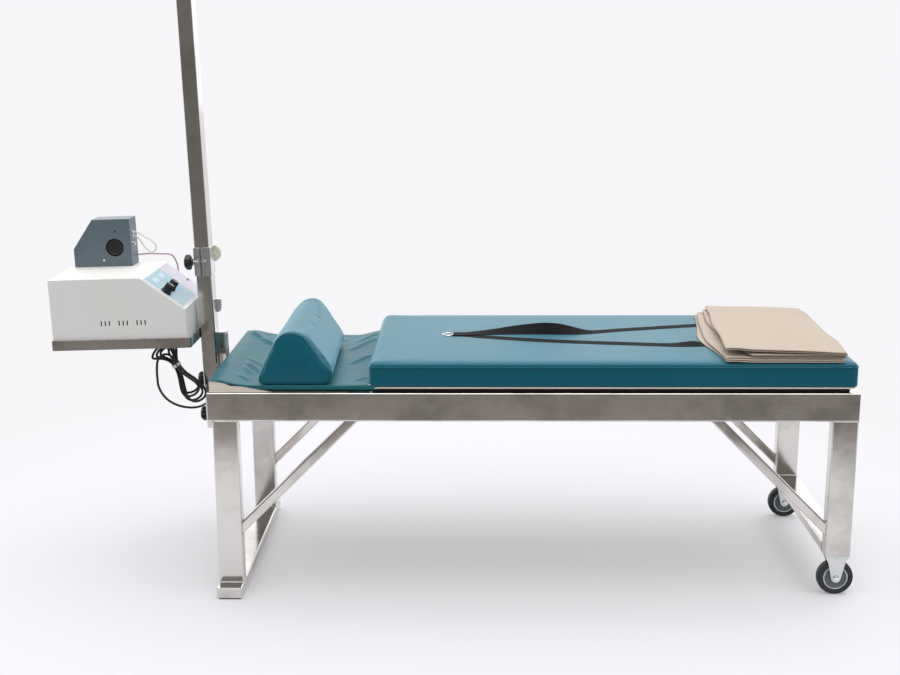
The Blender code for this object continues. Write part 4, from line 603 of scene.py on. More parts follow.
WHITE = Moulded("grey_plastic", (0.78, 0.78, 0.76), 0.45, 900.0, 0.00005, (0.5, 0.5, 0.48))
NYLON = Moulded("nylon", (0.92, 0.91, 0.75), 0.36, 700.0, 0.00005, (0.70, 0.66, 0.48))
TEAL = Vinyl("teal_vinyl", (0.0, 0.105, 0.150), 0.36, (0.004, 0.135, 0.180), 0.0006, 0.8)
# Top of the painted shade along the sheet's hem, just above the rail.
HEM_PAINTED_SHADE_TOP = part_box("side_rail_front")[1].z + 0.0115
SHEET = Vinyl("sheet_vinyl", (0.018, 0.125, 0.152), 0.36, (0.08, 0.15, 0.175), 0.0018, 0.10, 0.10, HEM_PAINTED_SHADE_TOP)
PLY = Plywood("plywood", (0.86, 0.77, 0.65))
CASE_WHITE = PowderCoat("white_paint", (0.85, 0.845, 0.82), 0.42, 520.0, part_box("control_case")[0].z)
HEAD_GREY = HammeredPaint("grey_paint", (0.120, 0.165, 0.192))
ROPE = Braid("rope", (0.92, 0.92, 0.91))
MAUVE = Braid("mauve_cable", (0.50, 0.33, 0.38), 0.002, 3, 0.00005, 0.45)
SHEATH = Braid("black_plastic", (0.012, 0.012, 0.013), 0.003, 2, 0.00004, 0.42)


# Surfaces as whole arrays


@dataclass(frozen=True)
class Surface:
    """A mesh as arrays: points, four-sided faces, flat caps, and a UV pair for each corner of the faces."""

    points: Array
    quads: Array
    caps: tuple[tuple[int, ...], ...] = ()
    corners: Array | None = None

    def moved(self, offset: Array | Point) -> Surface:
        """The surface carried by an offset."""
        return replace(self, points=self.points + offset)


@dataclass(frozen=True)
class Place:
    """A turned frame: its origin and its axes as the columns of a matrix."""

    origin: Array
    axes: Array

    def world(self, points: Array | Point) -> Array:
        """Points of this frame in the object's frame: origin + axes times point."""
        return self.origin + np.asarray(points, float) @ self.axes.T

    def within(self, origin: Point, lean: float) -> Place:
        """A frame in this one, at an origin and leaned about its Y axis."""
        turn = np.array(Matrix.Rotation(lean, 3, "Y"))
        return Place(self.world(origin), self.axes @ turn)


def grid_quads(rows: int, columns: int, wrap_rows: bool = False, wrap_columns: bool = False) -> Array:
    """Faces between the points of a grid.

    Args:
        rows: Points along the first direction.
        columns: Points along the second one.
        wrap_rows: Whether the last row joins the first.
        wrap_columns: Whether the last column joins the first.

    Returns:
        Corner numbers, four to a face.
    """
    i, j = np.meshgrid(
        np.arange(rows if wrap_rows else rows - 1),
        np.arange(columns if wrap_columns else columns - 1),
        indexing="ij",
    )
    down = (i + 1) % rows
    right = (j + 1) % columns
    corners = (i * columns + j, i * columns + right, down * columns + right, down * columns + j)
    return np.stack(corners, axis=-1).reshape(-1, 4)


def corner_uv(u: Array, v: Array) -> Array:
    """UV of each face corner of a grid, from one more u and v than there are faces each way.

    Args:
        u: Grid of u at the rows and columns of points, with the seam's second side included.
        v: The same for v.

    Returns:
        UV pairs, four to a face.
    """
    uv = np.stack([u, v], axis=-1)
    return np.stack([uv[:-1, :-1], uv[:-1, 1:], uv[1:, 1:], uv[1:, :-1]], axis=2).reshape(-1, 4, 2)


def loft(rings: Array, closed: bool = False) -> Surface:
    """Skin of a stack of rings: each ring is joined to the next, and the ends are capped or joined.

    Args:
        rings: Array of rings, points and coordinates.
        closed: Whether the last ring joins the first.

    Returns:
        The skin.
    """
    count, sides = rings.shape[:2]
    quads = grid_quads(count, sides, closed, True)
    last = (count - 1) * sides
    caps = () if closed else (tuple(range(sides - 1, -1, -1)), tuple(range(last, last + sides)))
    return Surface(rings.reshape(-1, 3), quads, caps)


def travelled(path: Array) -> Array:
    """Distance along a path at each of its points."""
    return np.concatenate([[0], np.cumsum(np.linalg.norm(np.diff(path, axis=0), axis=1))])


def sheet_of(grid: Array) -> Surface:
    """An open sheet through a grid of points, with UV as distances along its middle lines in metres."""
    rows, columns = grid.shape[:2]
    u = travelled(grid[:, columns // 2])[:, None] + np.zeros(columns)
    v = np.zeros(rows)[:, None] + travelled(grid[rows // 2])
    return Surface(grid.reshape(-1, 3), grid_quads(rows, columns), (), corner_uv(u, v))


def flat_size(grid: Array) -> Pair:
    """Mean width across and length along a sheet's grid, in metres."""
    along = np.linalg.norm(np.diff(grid, axis=0), axis=2).sum(axis=0).mean()
    across = np.linalg.norm(np.diff(grid, axis=1), axis=2).sum(axis=1).mean()
    return round(float(across), 3), round(float(along), 3)


def merged(surfaces: list[Surface]) -> Surface:
    """Several surfaces as one, without UV."""
    starts = np.cumsum([0] + [len(surface.points) for surface in surfaces])
    quads = [surface.quads + start for surface, start in zip(surfaces, starts)]
    caps = []
    for surface, start in zip(surfaces, starts):
        caps += [tuple(int(i + start) for i in cap) for cap in surface.caps]
    points = np.concatenate([surface.points for surface in surfaces])
    return Surface(points, np.concatenate(quads), tuple(caps))


def placed(surface: Surface, where: Place) -> Surface:
    """A surface carried from a turned frame into the object's frame."""
    return replace(surface, points=where.world(surface.points))


def rounded_outline(breadth: float, height: float, radius: float, steps: int = 6) -> Array:
    """Rectangle about its centre with round corners: corner centres plus radius times (cos, sin)."""
    turn = (np.arange(4)[:, None] + np.linspace(0, 1, steps + 1)) * math.pi / 2
    sign = np.array([(1, 1), (-1, 1), (-1, -1), (1, -1)])
    centres = sign[:, None] * (breadth / 2 - radius, height / 2 - radius)
    return (centres + radius * np.stack([np.cos(turn), np.sin(turn)], axis=-1)).reshape(-1, 2)


def raised(outline: Array, axis: int, position: float) -> Array:
    """A flat outline carried to a position along an axis; its columns are the other axes in order."""
    return np.insert(np.asarray(outline, float), axis, position, axis=1)


def slab(outline: Array, axis: int, low: float, high: float, edge: float) -> Surface:
    """A prism of an outline about its centre whose two rims are rounded off.

    Args:
        outline: The outline, about the origin.
        axis: The axis it is drawn along.
        low: Where it starts.
        high: Where it ends.
        edge: Radius of the rims.

    Returns:
        The closed prism; ring k is inset by edge * (1 - sin a) at edge * (1 - cos a) from its end.
    """
    turn = np.linspace(0, math.pi / 2, 4)
    inset = edge * (1 - np.sin(turn))
    depth = edge * (1 - np.cos(turn))
    half = np.abs(outline).max(axis=0)
    levels = np.concatenate([low + depth, (high - depth)[::-1]])
    shrink = 1 - np.concatenate([inset, inset[::-1]])[:, None] / half
    rings = [raised(outline * share, axis, level) for share, level in zip(shrink, levels)]
    return loft(np.stack(rings))


def tube_between(low: Array, high: Array, axis: int, wall: float, corner: float, sealed: bool) -> Surface:
    """A rectangular tube between two corners, round-cornered, open or sealed at its ends.

    Args:
        low: Lowest corner.
        high: Highest corner.
        axis: The axis it runs along.
        wall: Thickness of its wall.
        corner: Outer radius of its corners.
        sealed: Whether its ends are closed.

    Returns:
        The closed skin of the tube.
    """
    low, high = np.array(low), np.array(high)
    size = high - low
    across = [i for i in range(3) if i != axis]
    half = size[axis] / 2
    outer = rounded_outline(size[across[0]], size[across[1]], corner)
    if sealed:
        surface = slab(outer, axis, -half, half, 0.0012)
    else:
        inner = rounded_outline(size[across[0]] - 2 * wall, size[across[1]] - 2 * wall, corner - wall)
        rings = ((outer, -half), (outer, half), (inner, half), (inner, -half))
        surface = loft(np.stack([raised(outline, axis, level) for outline, level in rings]), closed=True)
    return surface.moved((low + high) / 2)


def revolved(
    profile: Array | list,
    axis: Point,
    centre: Point,
    sides: int = 64,
    closed: bool = False,
    flutes: int = 0,
) -> Surface:
    """A turned shape: centre + position * axis + radius * (cos a * u + sin a * v).

    Args:
        profile: Rows of position, radius and, with flutes, the depth of the flutes there.
        axis: The axis of turning.
        centre: Its origin.
        sides: Points round the axis.
        closed: Whether the profile closes on itself, as a ring's does.
        flutes: Number of flutes cut into the radius as depth * (1 - cos(flutes * a)) / 2.

    Returns:
        The turned skin.
    """
    profile = np.asarray(profile, float)
    axis = np.asarray(axis, float) / np.linalg.norm(axis)
    helper = np.eye(3)[np.argmin(np.abs(axis))]
    u = np.cross(helper, axis)
    u /= np.linalg.norm(u)
    v = np.cross(axis, u)
    angle = np.linspace(0, 2 * math.pi, sides, endpoint=False)
    ring = np.cos(angle)[:, None] * u + np.sin(angle)[:, None] * v
    radius = profile[:, 1:2] + np.zeros(sides)
    if flutes:
        radius = radius - profile[:, 2:3] * (1 - np.cos(flutes * angle)) / 2
    return loft(np.asarray(centre) + profile[:, :1, None] * axis + radius[:, :, None] * ring, closed)


TUBE_LEAN = np.array((0.45, 0.85, 0.28))


def swept(path: Array, radius: float | Array, sides: int, closed: bool = False) -> Surface:
    """A round tube along a path: path + radius * (cos a * side + sin a * up), with u round and v along.

    Args:
        path: Points along the tube, close together.
        radius: One radius, or one at each point.
        sides: Points round the tube.
        closed: Whether the path joins its own start.

    Returns:
        The tube's skin, capped where it is open.
    """
    if closed:
        along = np.roll(path, -1, axis=0) - np.roll(path, 1, axis=0)
    else:
        along = np.gradient(path, axis=0)
    along /= np.linalg.norm(along, axis=1, keepdims=True)
    side = np.cross(along, TUBE_LEAN)
    side /= np.linalg.norm(side, axis=1, keepdims=True)
    up = np.cross(side, along)
    angle = np.linspace(0, 2 * math.pi, sides, endpoint=False)[:, None]
    ring = np.cos(angle) * side[:, None] + np.sin(angle) * up[:, None]
    reach = np.broadcast_to(np.asarray(radius, float), (len(path),))
    surface = loft(path[:, None] + reach[:, None, None] * ring, closed)
    if closed:
        return surface
    u, v = np.meshgrid(np.linspace(0, 1, sides + 1), travelled(path))
    return replace(surface, corners=corner_uv(u, v))


def evenly(path: Array, step: float) -> Array:
    """A dense path read at even steps along its length."""
    along = travelled(path)
    wanted = np.linspace(0, along[-1], max(2, round(along[-1] / step)) + 1)
    return np.stack([np.interp(wanted, along, path[:, i]) for i in range(path.shape[1])], axis=1)


def smooth_path(points: Array, step: float) -> Array:
    """Catmull-Rom curve through points, at even steps.

    Args:
        points: The points it passes through.
        step: Distance between the points of the result.

    Returns:
        Half of 2s + (e - b)t + (2b - 5s + 4e - a)t2 + (3s - b - 3e + a)t3 between each start s and end e.
    """
    route = np.vstack([2 * points[0] - points[1], points, 2 * points[-1] - points[-2]])
    before, start, end, after = route[:-3], route[1:-2], route[2:-1], route[3:]
    t = np.linspace(0, 1, 24, endpoint=False)[:, None, None]
    square = (2 * before - 5 * start + 4 * end - after) * t**2
    cube = (3 * start - before - 3 * end + after) * t**3
    curve = 0.5 * (2 * start + (end - before) * t + square + cube)
    dense = np.vstack([curve.transpose(1, 0, 2).reshape(-1, points.shape[1]), points[-1:]])
    return evenly(dense, step)


def length_of(path: Array) -> float:
    """Length of a path in metres."""
    return float(travelled(path)[-1])


def smoothstep(share: Array) -> Array:
    """0 below 0, 1 above 1, and 3t2 - 2t3 between."""
    t = np.clip(share, 0, 1)
    return t * t * (3 - 2 * t)


# Pieces


def add_piece(
    name: str,
    surface: Surface,
    finish: Finish,
    body: str = TABLE,
    replaces: tuple[str, ...] = (),
    sharp: float = SHARP_ANGLE,
) -> bpy.types.Object:
    """Make a piece from a surface, dress it and let it ride.

    Args:
        name: The piece's name.
        surface: Its shape in the object's frame.
        finish: Its finish.
        body: The body that it moves with.
        replaces: CAD nodes that it stands for.
        sharp: Angle in degrees above which an edge stays sharp.

    Returns:
        The new object.
    """
    mesh = bpy.data.meshes.new(name)
    faces = surface.quads.tolist() + [list(cap) for cap in surface.caps]
    mesh.from_pydata(surface.points.tolist(), [], faces)
    if surface.corners is not None:
        layer = mesh.uv_layers.new(name="UVMap")
        flat = np.zeros((len(mesh.loops), 2))
        flat[: surface.corners.size // 2] = surface.corners.reshape(-1, 2)
        layer.data.foreach_set("uv", flat.ravel())
    settle(mesh)
    obj = dressed(bpy.data.objects.new(name, mesh), finish, body, replaces, sharp)
    if sharp < ALL_SMOOTH:
        add_modifier(obj, "WEIGHTED_NORMAL", keep_sharp=True)
    return obj


def settle(mesh: bpy.types.Mesh) -> None:
    """Merge doubled points, drop empty faces and turn the faces outwards."""
    work = bmesh.new()
    work.from_mesh(mesh)
    bmesh.ops.remove_doubles(work, verts=work.verts, dist=1e-6)
    bmesh.ops.dissolve_degenerate(work, edges=work.edges, dist=1e-7)
    bmesh.ops.recalc_face_normals(work, faces=work.faces)
    work.to_mesh(mesh)
    work.free()


def dressed(
    obj: bpy.types.Object, finish: Finish, body: str, replaces: tuple[str, ...], sharp: float
) -> bpy.types.Object:
    """Link an object, shade it, give it its finish, whose material bears the slot's name, and let it ride
    on a body.
    """
    bpy.context.scene.collection.objects.link(obj)
    obj.data.shade_smooth()
    obj.data.set_sharp_from_angle(angle=math.radians(sharp))
    obj.data.materials.clear()
    obj.data.materials.append(material_of(finish))
    if body:
        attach(obj, body)
    if replaces:
        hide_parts(*replaces)
    LOG.info("%s: %d faces on %s", obj.name, len(obj.data.polygons), body)
    return obj


def dress_node(node: str, finish: Finish) -> None:
    """Give a CAD node that keeps its shape its finish."""
    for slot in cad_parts[node].material_slots:
        slot.material = material_of(finish)
    LOG.info("%s: CAD shape kept", node)


def softened(node: str, finish: Finish, width: float, body: str = TABLE) -> None:
    """Make a copy of a CAD node with merged faces and rounded edges, which stands for the node.

    Args:
        node: The CAD node.
        finish: Its finish.
        width: Width of the rounding.
        body: The body that it moves with.
    """
    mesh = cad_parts[node].data.copy()
    work = bmesh.new()
    work.from_mesh(mesh)
    bmesh.ops.remove_doubles(work, verts=work.verts, dist=1e-5)
    bmesh.ops.dissolve_limit(work, angle_limit=FLAT_ANGLE, verts=work.verts, edges=work.edges)
    work.to_mesh(mesh)
    work.free()
    obj = dressed(bpy.data.objects.new(f"{node}_edged", mesh), finish, body, (node,), SHARP_ANGLE)
    bevel = obj.modifiers.new("rounding", "BEVEL")
    bevel.width = width
    bevel.segments = 3
    bevel.limit_method = "ANGLE"
    bevel.angle_limit = math.radians(SHARP_ANGLE)
    bevel.harden_normals = True


def add_modifier(obj: bpy.types.Object, kind: str, **settings: float | int | bool | str) -> None:
    """Add a modifier with its settings."""
    modifier = obj.modifiers.new(kind.lower(), kind)
    for key, value in settings.items():
        setattr(modifier, key, value)


def coordinates(mesh: bpy.types.Mesh) -> Array:
    """The points of a mesh as an array."""
    points = np.zeros(3 * len(mesh.vertices))
    mesh.vertices.foreach_get("co", points)
    return points.reshape(-1, 3)


def puffed(obj: bpy.types.Object, voxel: float, pressure: float, cap: float, floor: float) -> None:
    """Swell a padded piece by cloth pressure, as its foam fills its cover.

    Args:
        obj: The piece, already in place.
        voxel: Size of the remeshed faces.
        pressure: Pressure inside.
        cap: The most that a point may move.
        floor: Height of what it rests on, where it stays flat and still.
    """
    scene = bpy.context.scene
    add_modifier(obj, "REMESH", mode="VOXEL", voxel_size=voxel)
    add_modifier(obj, "SMOOTH", factor=0.5, iterations=2)
    graph = bpy.context.evaluated_depsgraph_get()
    mesh = bpy.data.meshes.new_from_object(obj.evaluated_get(graph))
    obj.modifiers.clear()
    obj.data = mesh
    before = coordinates(mesh)
    before[:, 2] = np.where(before[:, 2] < floor + 0.3 * voxel, floor, before[:, 2])
    mesh.vertices.foreach_set("co", before.ravel())
    held = obj.vertex_groups.new(name="held")
    held.add(np.flatnonzero(before[:, 2] < floor + 0.0005).tolist(), 1.0, "REPLACE")
    cloth = obj.modifiers.new("cloth", "CLOTH")
    cloth.settings.vertex_group_mass = "held"
    cloth.settings.use_pressure = True
    cloth.settings.uniform_pressure_force = pressure
    cloth.settings.effector_weights.gravity = 0.0
    cloth.settings.tension_stiffness = 40.0
    cloth.settings.compression_stiffness = 40.0
    cloth.settings.bending_stiffness = 4.0
    for step in range(1, 21):
        scene.frame_set(step)
    graph = bpy.context.evaluated_depsgraph_get()
    swollen = coordinates(obj.evaluated_get(graph).data)
    scene.frame_set(1)
    obj.modifiers.remove(cloth)
    obj.vertex_groups.clear()
    move = swollen - before
    reach = np.linalg.norm(move, axis=1, keepdims=True)
    after = before + move * np.minimum(1.0, cap / np.maximum(reach, 1e-9))
    after[:, 2] = np.maximum(after[:, 2], floor)
    mesh.vertices.foreach_set("co", after.ravel())
    mesh.update()
    mesh.shade_smooth()
    add_modifier(obj, "SUBSURF", levels=1, render_levels=1)


# Studio


@dataclass
class Studio:
    """A white seamless floor, a soft dome and the camera of the picture."""

    floor_half: float = 40.0
    floor_level: float = -0.0004
    backdrop: Colour = (0.925, 0.921, 0.947)
    paper: Colour = (0.70, 0.697, 0.715)
    aisle: Colour = (0.27, 0.245, 0.225)
    room: Colour = (0.185, 0.178, 0.168)
    sky: Colour = (1.0, 1.0, 1.02)
    wall: Colour = (0.93, 0.93, 0.95)
    camera_at: Point = (0.07166, -3.73545, 1.5064)
    pan: float = -0.0191
    tilt: float = 0.22135
    roll: float = -0.00435
    lens: float = 52.046

    def camera(self) -> None:
        """Place the camera from its pan, tilt and roll."""
        cos, sin = math.cos, math.sin
        ahead = np.array((sin(self.pan), cos(self.pan), 0.0))
        forward = ahead * cos(self.tilt) - (0.0, 0.0, sin(self.tilt))
        right = np.array((cos(self.pan), -sin(self.pan), 0.0))
        up = np.cross(right, forward)
        level = np.array(((cos(self.roll), sin(self.roll)), (-sin(self.roll), cos(self.roll))))
        right, up = level @ np.stack([right, up])
        data = bpy.data.cameras.new("camera")
        data.lens = self.lens
        data.sensor_width = 36.0
        data.clip_end = 200.0
        camera = bpy.data.objects.new("camera", data)
        turn = Matrix(np.stack([right, up, -forward], axis=1).tolist()).to_4x4()
        camera.matrix_world = Matrix.Translation(self.camera_at) @ turn
        bpy.context.scene.collection.objects.link(camera)
        bpy.context.scene.camera = camera

    def light(self) -> None:
        """A dome that is brighter above than in front, with a broad lamp overhead."""
        world = bpy.data.worlds.new("studio")
        world.use_nodes = True
        bpy.context.scene.world = world
        graph = Graph(world.node_tree)
        _, y, z = graph.parts(graph.make("ShaderNodeTexCoord", out="Generated"))
        front = (0 - y).step(-0.1, 0.6)
        dome = 0.47 + z.step(0.15, 0.95) * 1.24 - front * (1 - z.step(0.2, 0.8)) * 0.05
        low = 1 - abs(z).step(0.30, 0.85)
        glow = 1 + 0.65 * y.step(0.2, 0.8) * low + 2.6 * z.step(0.78, 0.95)
        mirror = graph.mix(front * low, graph.scaled(glow, self.wall), self.room)
        colour = graph.mix(graph.ray("Is Glossy Ray"), graph.scaled(dome, self.sky), mirror)
        seen = graph.ray("Is Camera Ray").most(graph.ray("Is Transmission Ray"))
        colour = graph.mix(seen, colour, self.backdrop)
        background = world.node_tree.nodes["Background"]
        graph.feed(background.inputs["Color"], colour)
        data = bpy.data.lights.new("overhead", "SUN")
        data.energy = 0.50
        data.angle = math.radians(50)
        lamp = bpy.data.objects.new("overhead", data)
        lamp.rotation_euler = (math.radians(-8), math.radians(10), 0)
        bpy.context.scene.collection.objects.link(lamp)

    def floor(self) -> None:
        """A pale floor that keeps the shadow near the object and turns into the backdrop further off; near
        the object a quarter of the backdrop's glow is mixed in, painted light that lifts the shadow.
        """
        grid = np.linspace(-self.floor_half, self.floor_half, 9)
        x, y = np.meshgrid(grid, grid, indexing="ij")
        surface = sheet_of(np.stack([x, y, np.full_like(x, self.floor_level)], axis=-1))
        mesh = bpy.data.meshes.new("floor")
        mesh.from_pydata(surface.points.tolist(), [], surface.quads[:, ::-1].tolist())
        floor = bpy.data.objects.new("floor", mesh)
        bpy.context.scene.collection.objects.link(floor)
        material = bpy.data.materials.new("floor")
        material.use_nodes = True
        mesh.materials.append(material)
        graph = Graph(material.node_tree)
        where = graph.place()
        x_way, y_way, _ = graph.parts(where)
        # Near the object camera rays and reflections still see a quarter of the backdrop's glow: painted
        # light over the cast shadow.
        far = 0.26 + 0.74 * graph.math("SQRT", x_way * x_way + y_way * y_way).step(1.0, 2.4)
        dim = tuple(0.5 * part for part in self.paper)
        bounce = graph.mix(graph.ray("Is Diffuse Ray"), self.paper, dim)
        graph.principled(bounce, 0.9, others={"Specular IOR Level": 0.1})
        glossy = graph.ray("Is Glossy Ray")
        seen = graph.ray("Is Camera Ray").most(graph.ray("Is Transmission Ray")).most(glossy)
        paper = Sock(graph, material.node_tree.nodes["Principled BSDF"].outputs[0])
        white = graph.make("ShaderNodeEmission", None, {"Color": self.backdrop})
        away = graph.mix((0 - y_way).step(2.2, 5.0), self.aisle, self.room)
        dark = graph.make("ShaderNodeEmission", None, {"Color": away})
        edge = glossy * (0 - y_way).step(1.5, 1.8)
        shade = graph.make("ShaderNodeMixShader", None, {0: seen * far, 1: paper, 2: white})
        shade = graph.make("ShaderNodeMixShader", None, {0: edge, 1: shade, 2: dark})
        output = material.node_tree.nodes["Material Output"]
        graph.feed(output.inputs["Surface"], shade)

    def build(self) -> None:
        """Set up the whole studio."""
        bpy.context.scene.view_settings.view_transform = "Standard"
        self.camera()
        self.light()
        self.floor()


# Places that several sub-assemblies share


def box_of(node: str) -> tuple[Array, Array]:
    """Lowest and highest corner of a CAD node, as arrays."""
    low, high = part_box(node)
    return np.array(low), np.array(high)


RAIL_LOW, RAIL_HIGH = box_of("side_rail_front")
HEAD_END = RAIL_LOW[0]
MAST_LEAN = math.radians(1.5)
MAST = Place(np.zeros(3), np.eye(3)).within((HEAD_END - GAP, 0.0, RAIL_LOW[2]), -MAST_LEAN)


# Cords


@dataclass
class Cords:
    """The traction rope, the signal cable and the mains cord with its hank and plug."""

    rope_diameter: float = 0.005
    rope_exit: Point = (-0.2770, 0.1025, 0.4691)
    rope_route: tuple[Pair, ...] = (
        (0.0000, 0.0000), (0.0060, 0.0000), (0.0190, -0.0050), (0.0420, -0.0190), (0.0600, -0.0320),
        (0.0668, -0.0450), (0.0630, -0.0570), (0.0530, -0.0615), (0.0425, -0.0565),
        (0.0310, -0.0430), (0.0175, -0.0210), (0.0060, -0.0125), (0.0000, -0.0125),
    )
    cable_diameter: float = 0.0045
    cable_route: tuple[Point, ...] = (
        (-0.2770, 0.1275, 0.3973), (-0.2710, 0.1275, 0.3973), (-0.2410, 0.1315, 0.3983),
        (-0.2130, 0.1475, 0.3943), (-0.1863, 0.1823, 0.3853), (-0.1753, 0.1953, 0.3613),
        (-0.1723, 0.1983, 0.3413), (-0.1723, 0.1943, 0.3243), (-0.1723, 0.1823, 0.3153),
        (-0.1723, 0.1763, 0.3153),
    )
    cord_diameter: float = 0.007
    gland_tip: Point = (-0.1591, -0.0520, 0.1424)
    tie: Pair = (-0.138, 0.601)
    axis: float = math.radians(-61.0)
    step: float = 0.0098
    waist: float = 0.0044
    lower: tuple[Pair, ...] = ((0.128, 0.066), (0.094, 0.060), (0.117, 0.064), (0.101, 0.060))
    upper: tuple[Point, ...] = (
        (0.058, 0.058, 4.0), (0.064, 0.060, 17.0), (0.072, 0.062, 28.0), (0.052, 0.046, 60.0),
    )
    tail_route: tuple[Point, ...] = (
        (-0.1910, -0.0910, 0.5660), (-0.1890, -0.0895, 0.5400), (-0.1785, -0.0855, 0.5140),
        (-0.1595, -0.0780, 0.4910), (-0.1340, -0.0645, 0.4740), (-0.1080, -0.0420, 0.4630),
        (-0.0885, -0.0140, 0.4585), (-0.0785, 0.0180, 0.4580), (-0.0765, 0.0460, 0.4575),
        (-0.0670, 0.0690, 0.4565), (-0.0470, 0.0790, 0.4530), (-0.0300, 0.0800, 0.4400),
        (-0.0235, 0.0800, 0.4200), (-0.0230, 0.0800, 0.4050),
    )
    plug_size: Point = (0.030, 0.022, 0.048)
    band_width: float = 0.009
    band_thickness: float = 0.0014
    band_half: Pair = (0.0100, 0.0250)
    plug_neck: float = 0.0115
    pin_spacing: float = 0.0127

    def lobe(self, reach: float, swell: float, fan: float, t: Array, depth: Array, way: int) -> Array:
        """One lobe of the hank: reach * sin t along it and cos t * (waist + swell * sin2 t) across it.

        Args:
            reach: Length of the lobe.
            swell: How far it swells to each side.
            fan: Extra turn of its tip.
            t: Angle from one crossing of the tie to the next.
            depth: Its place in Y.
            way: 1 below the tie and -1 above it.

        Returns:
            Points along the lobe.
        """
        along = way * reach * np.sin(t)
        across = -way * np.cos(t) * (self.waist + swell * np.sin(t) ** 2)
        turn = self.axis + fan * np.sin(t) ** 2
        x = HEAD_END + self.tie[0] + along * np.cos(turn) - across * np.sin(turn)
        z = self.tie[1] + along * np.sin(turn) + across * np.cos(turn)
        return np.stack([x, depth, z], axis=1)

    def hank(self) -> Array:
        """The hank's turns as one path; each climbs one step forward on its way back up to the tie."""
        depth = self.gland_tip[1]
        path = []
        for turn, ((reach, swell), (high, wide, fan)) in enumerate(zip(self.lower, self.upper)):
            t = np.linspace(0, math.pi, 96, endpoint=False)
            climb = smoothstep((t - 0.70 * math.pi) / (0.28 * math.pi))
            path.append(self.lobe(reach, swell, 0.0, t, depth - self.step * climb, 1))
            depth -= self.step
            span = math.pi if turn + 1 < len(self.lower) else math.pi / 2
            t = np.linspace(0, span, 96, endpoint=False)
            path.append(self.lobe(high, wide, math.radians(fan), t, np.full(len(t), depth), -1))
        return np.vstack(path)

    def mains_path(self) -> Array:
        """The mains cord: straight out of the gland, a bend into the hank, its turns, and the tail."""
        hank = self.hank()
        tip = MAST.world(self.gland_tip)
        down = -MAST.axes[:, 2]
        lead = tip + down * self.cord_diameter
        pull = np.linalg.norm(hank[0] - lead)
        entry = (hank[1] - hank[0]) / np.linalg.norm(hank[1] - hank[0]) * pull
        t = np.linspace(0, 1, 24, endpoint=False)[:, None]
        bend = lead * (2 * t**3 - 3 * t**2 + 1) + down * pull * (t**3 - 2 * t**2 + t)
        bend = bend + hank[0] * (3 * t**2 - 2 * t**3) + entry * (t**3 - t**2)
        heading = (hank[-1] - hank[-6]) / np.linalg.norm(hank[-1] - hank[-6])
        last = hank[-1] + heading * self.cord_diameter
        start = last + heading * GAP
        hanging = np.array(self.tail_route) + (HEAD_END, 0, 0)
        tail = smooth_path(np.vstack([start, start + heading * self.cord_diameter, hanging]), 0.004)
        return evenly(np.vstack([tip, bend, hank, last, tail]), 0.003)

    def plug(self, top: Array) -> list[bpy.types.Object]:
        """The moulded plug with a ribbed neck, and its two flat pins.

        Args:
            top: Where the cord enters it.

        Returns:
            The plug and its pins.
        """
        breadth, depth, length = self.plug_size
        level = np.linspace(0, 1, 40)
        swell = smoothstep((level - 0.26) / 0.42)
        rib = 0.0006 * (np.sin(level * 2 * math.pi / 0.055) > 0) * (level < 0.28) * (level > 0.04)
        shape = self.plug_neck + swell[:, None] * (breadth - self.plug_neck, depth - self.plug_neck)
        shape += 2 * rib[:, None]
        shape *= (1 - 0.18 * np.clip((level - 0.95) / 0.05, 0, 1) ** 2)[:, None]
        base = rounded_outline(1.0, 1.0, 0.32)
        rings = np.stack([raised(base * size, 2, -length * share) for size, share in zip(shape, level)])
        body = add_piece("mains_plug_body", loft(rings).moved(top), BLACK, TABLE, ("mains_plug",))
        outline = rounded_outline(0.0016, 0.006, 0.0006)
        pins = []
        for side in (-1, 1):
            pin = slab(outline, 2, -length - 0.018, -length + 0.004, 0.0005)
            pins.append(pin.moved(top + (side * self.pin_spacing / 2, 0, 0)))
        return [body, add_piece("mains_plug_pins", merged(pins), CHROME)]

    def tie_band(self) -> bpy.types.Object:
        """A pale strap round the hank's waist: an ellipse across the hank's axis."""
        turn = np.linspace(0, 2 * math.pi, 60, endpoint=False)
        middle = self.gland_tip[1] - 2.0 * self.step
        heading = np.array((math.cos(self.axis), 0.0, math.sin(self.axis)))
        side = np.array((-math.sin(self.axis), 0.0, math.cos(self.axis)))
        centre = np.array((HEAD_END + self.tie[0], middle, self.tie[1]))
        rings = []
        edge, thick = self.band_width / 2, self.band_thickness
        for along, proud in ((-edge, 0.0), (-edge, thick), (edge, thick), (edge, 0.0)):
            wide, deep = (part + proud for part in self.band_half)
            ring = wide * np.cos(turn)[:, None] * side + deep * np.sin(turn)[:, None] * (0, 1, 0)
            rings.append(centre + along * heading + ring)
        return add_piece("hank_tie", loft(np.stack(rings), closed=True), WHITE)

    def build(self) -> None:
        exit_point = np.array(self.rope_exit)
        route = exit_point + np.insert(np.array(self.rope_route), 1, 0.0, axis=1)
        path = MAST.world(smooth_path(route, 0.0015))
        tube = swept(path, self.rope_diameter / 2, 14)
        rope = add_piece("rope_loop", tube, ROPE, TABLE, ("traction_rope",))
        path = MAST.world(smooth_path(np.array(self.cable_route), 0.002))
        tube = swept(path, self.cable_diameter / 2, 12)
        cable = add_piece("signal_lead", tube, MAUVE, TABLE, ("signal_cable",))
        path = self.mains_path()
        tube = swept(path, self.cord_diameter / 2, 12)
        cord = add_piece("mains_lead", tube, SHEATH, TABLE, ("cord_hank", "cord_tail"))
        on_cord = self.plug(path[-1]) + [self.tie_band()]


# Frame of welded tube


class End(Enum):
    """The two long sides of the table."""

    FRONT = ("front", -1)
    REAR = ("rear", 1)


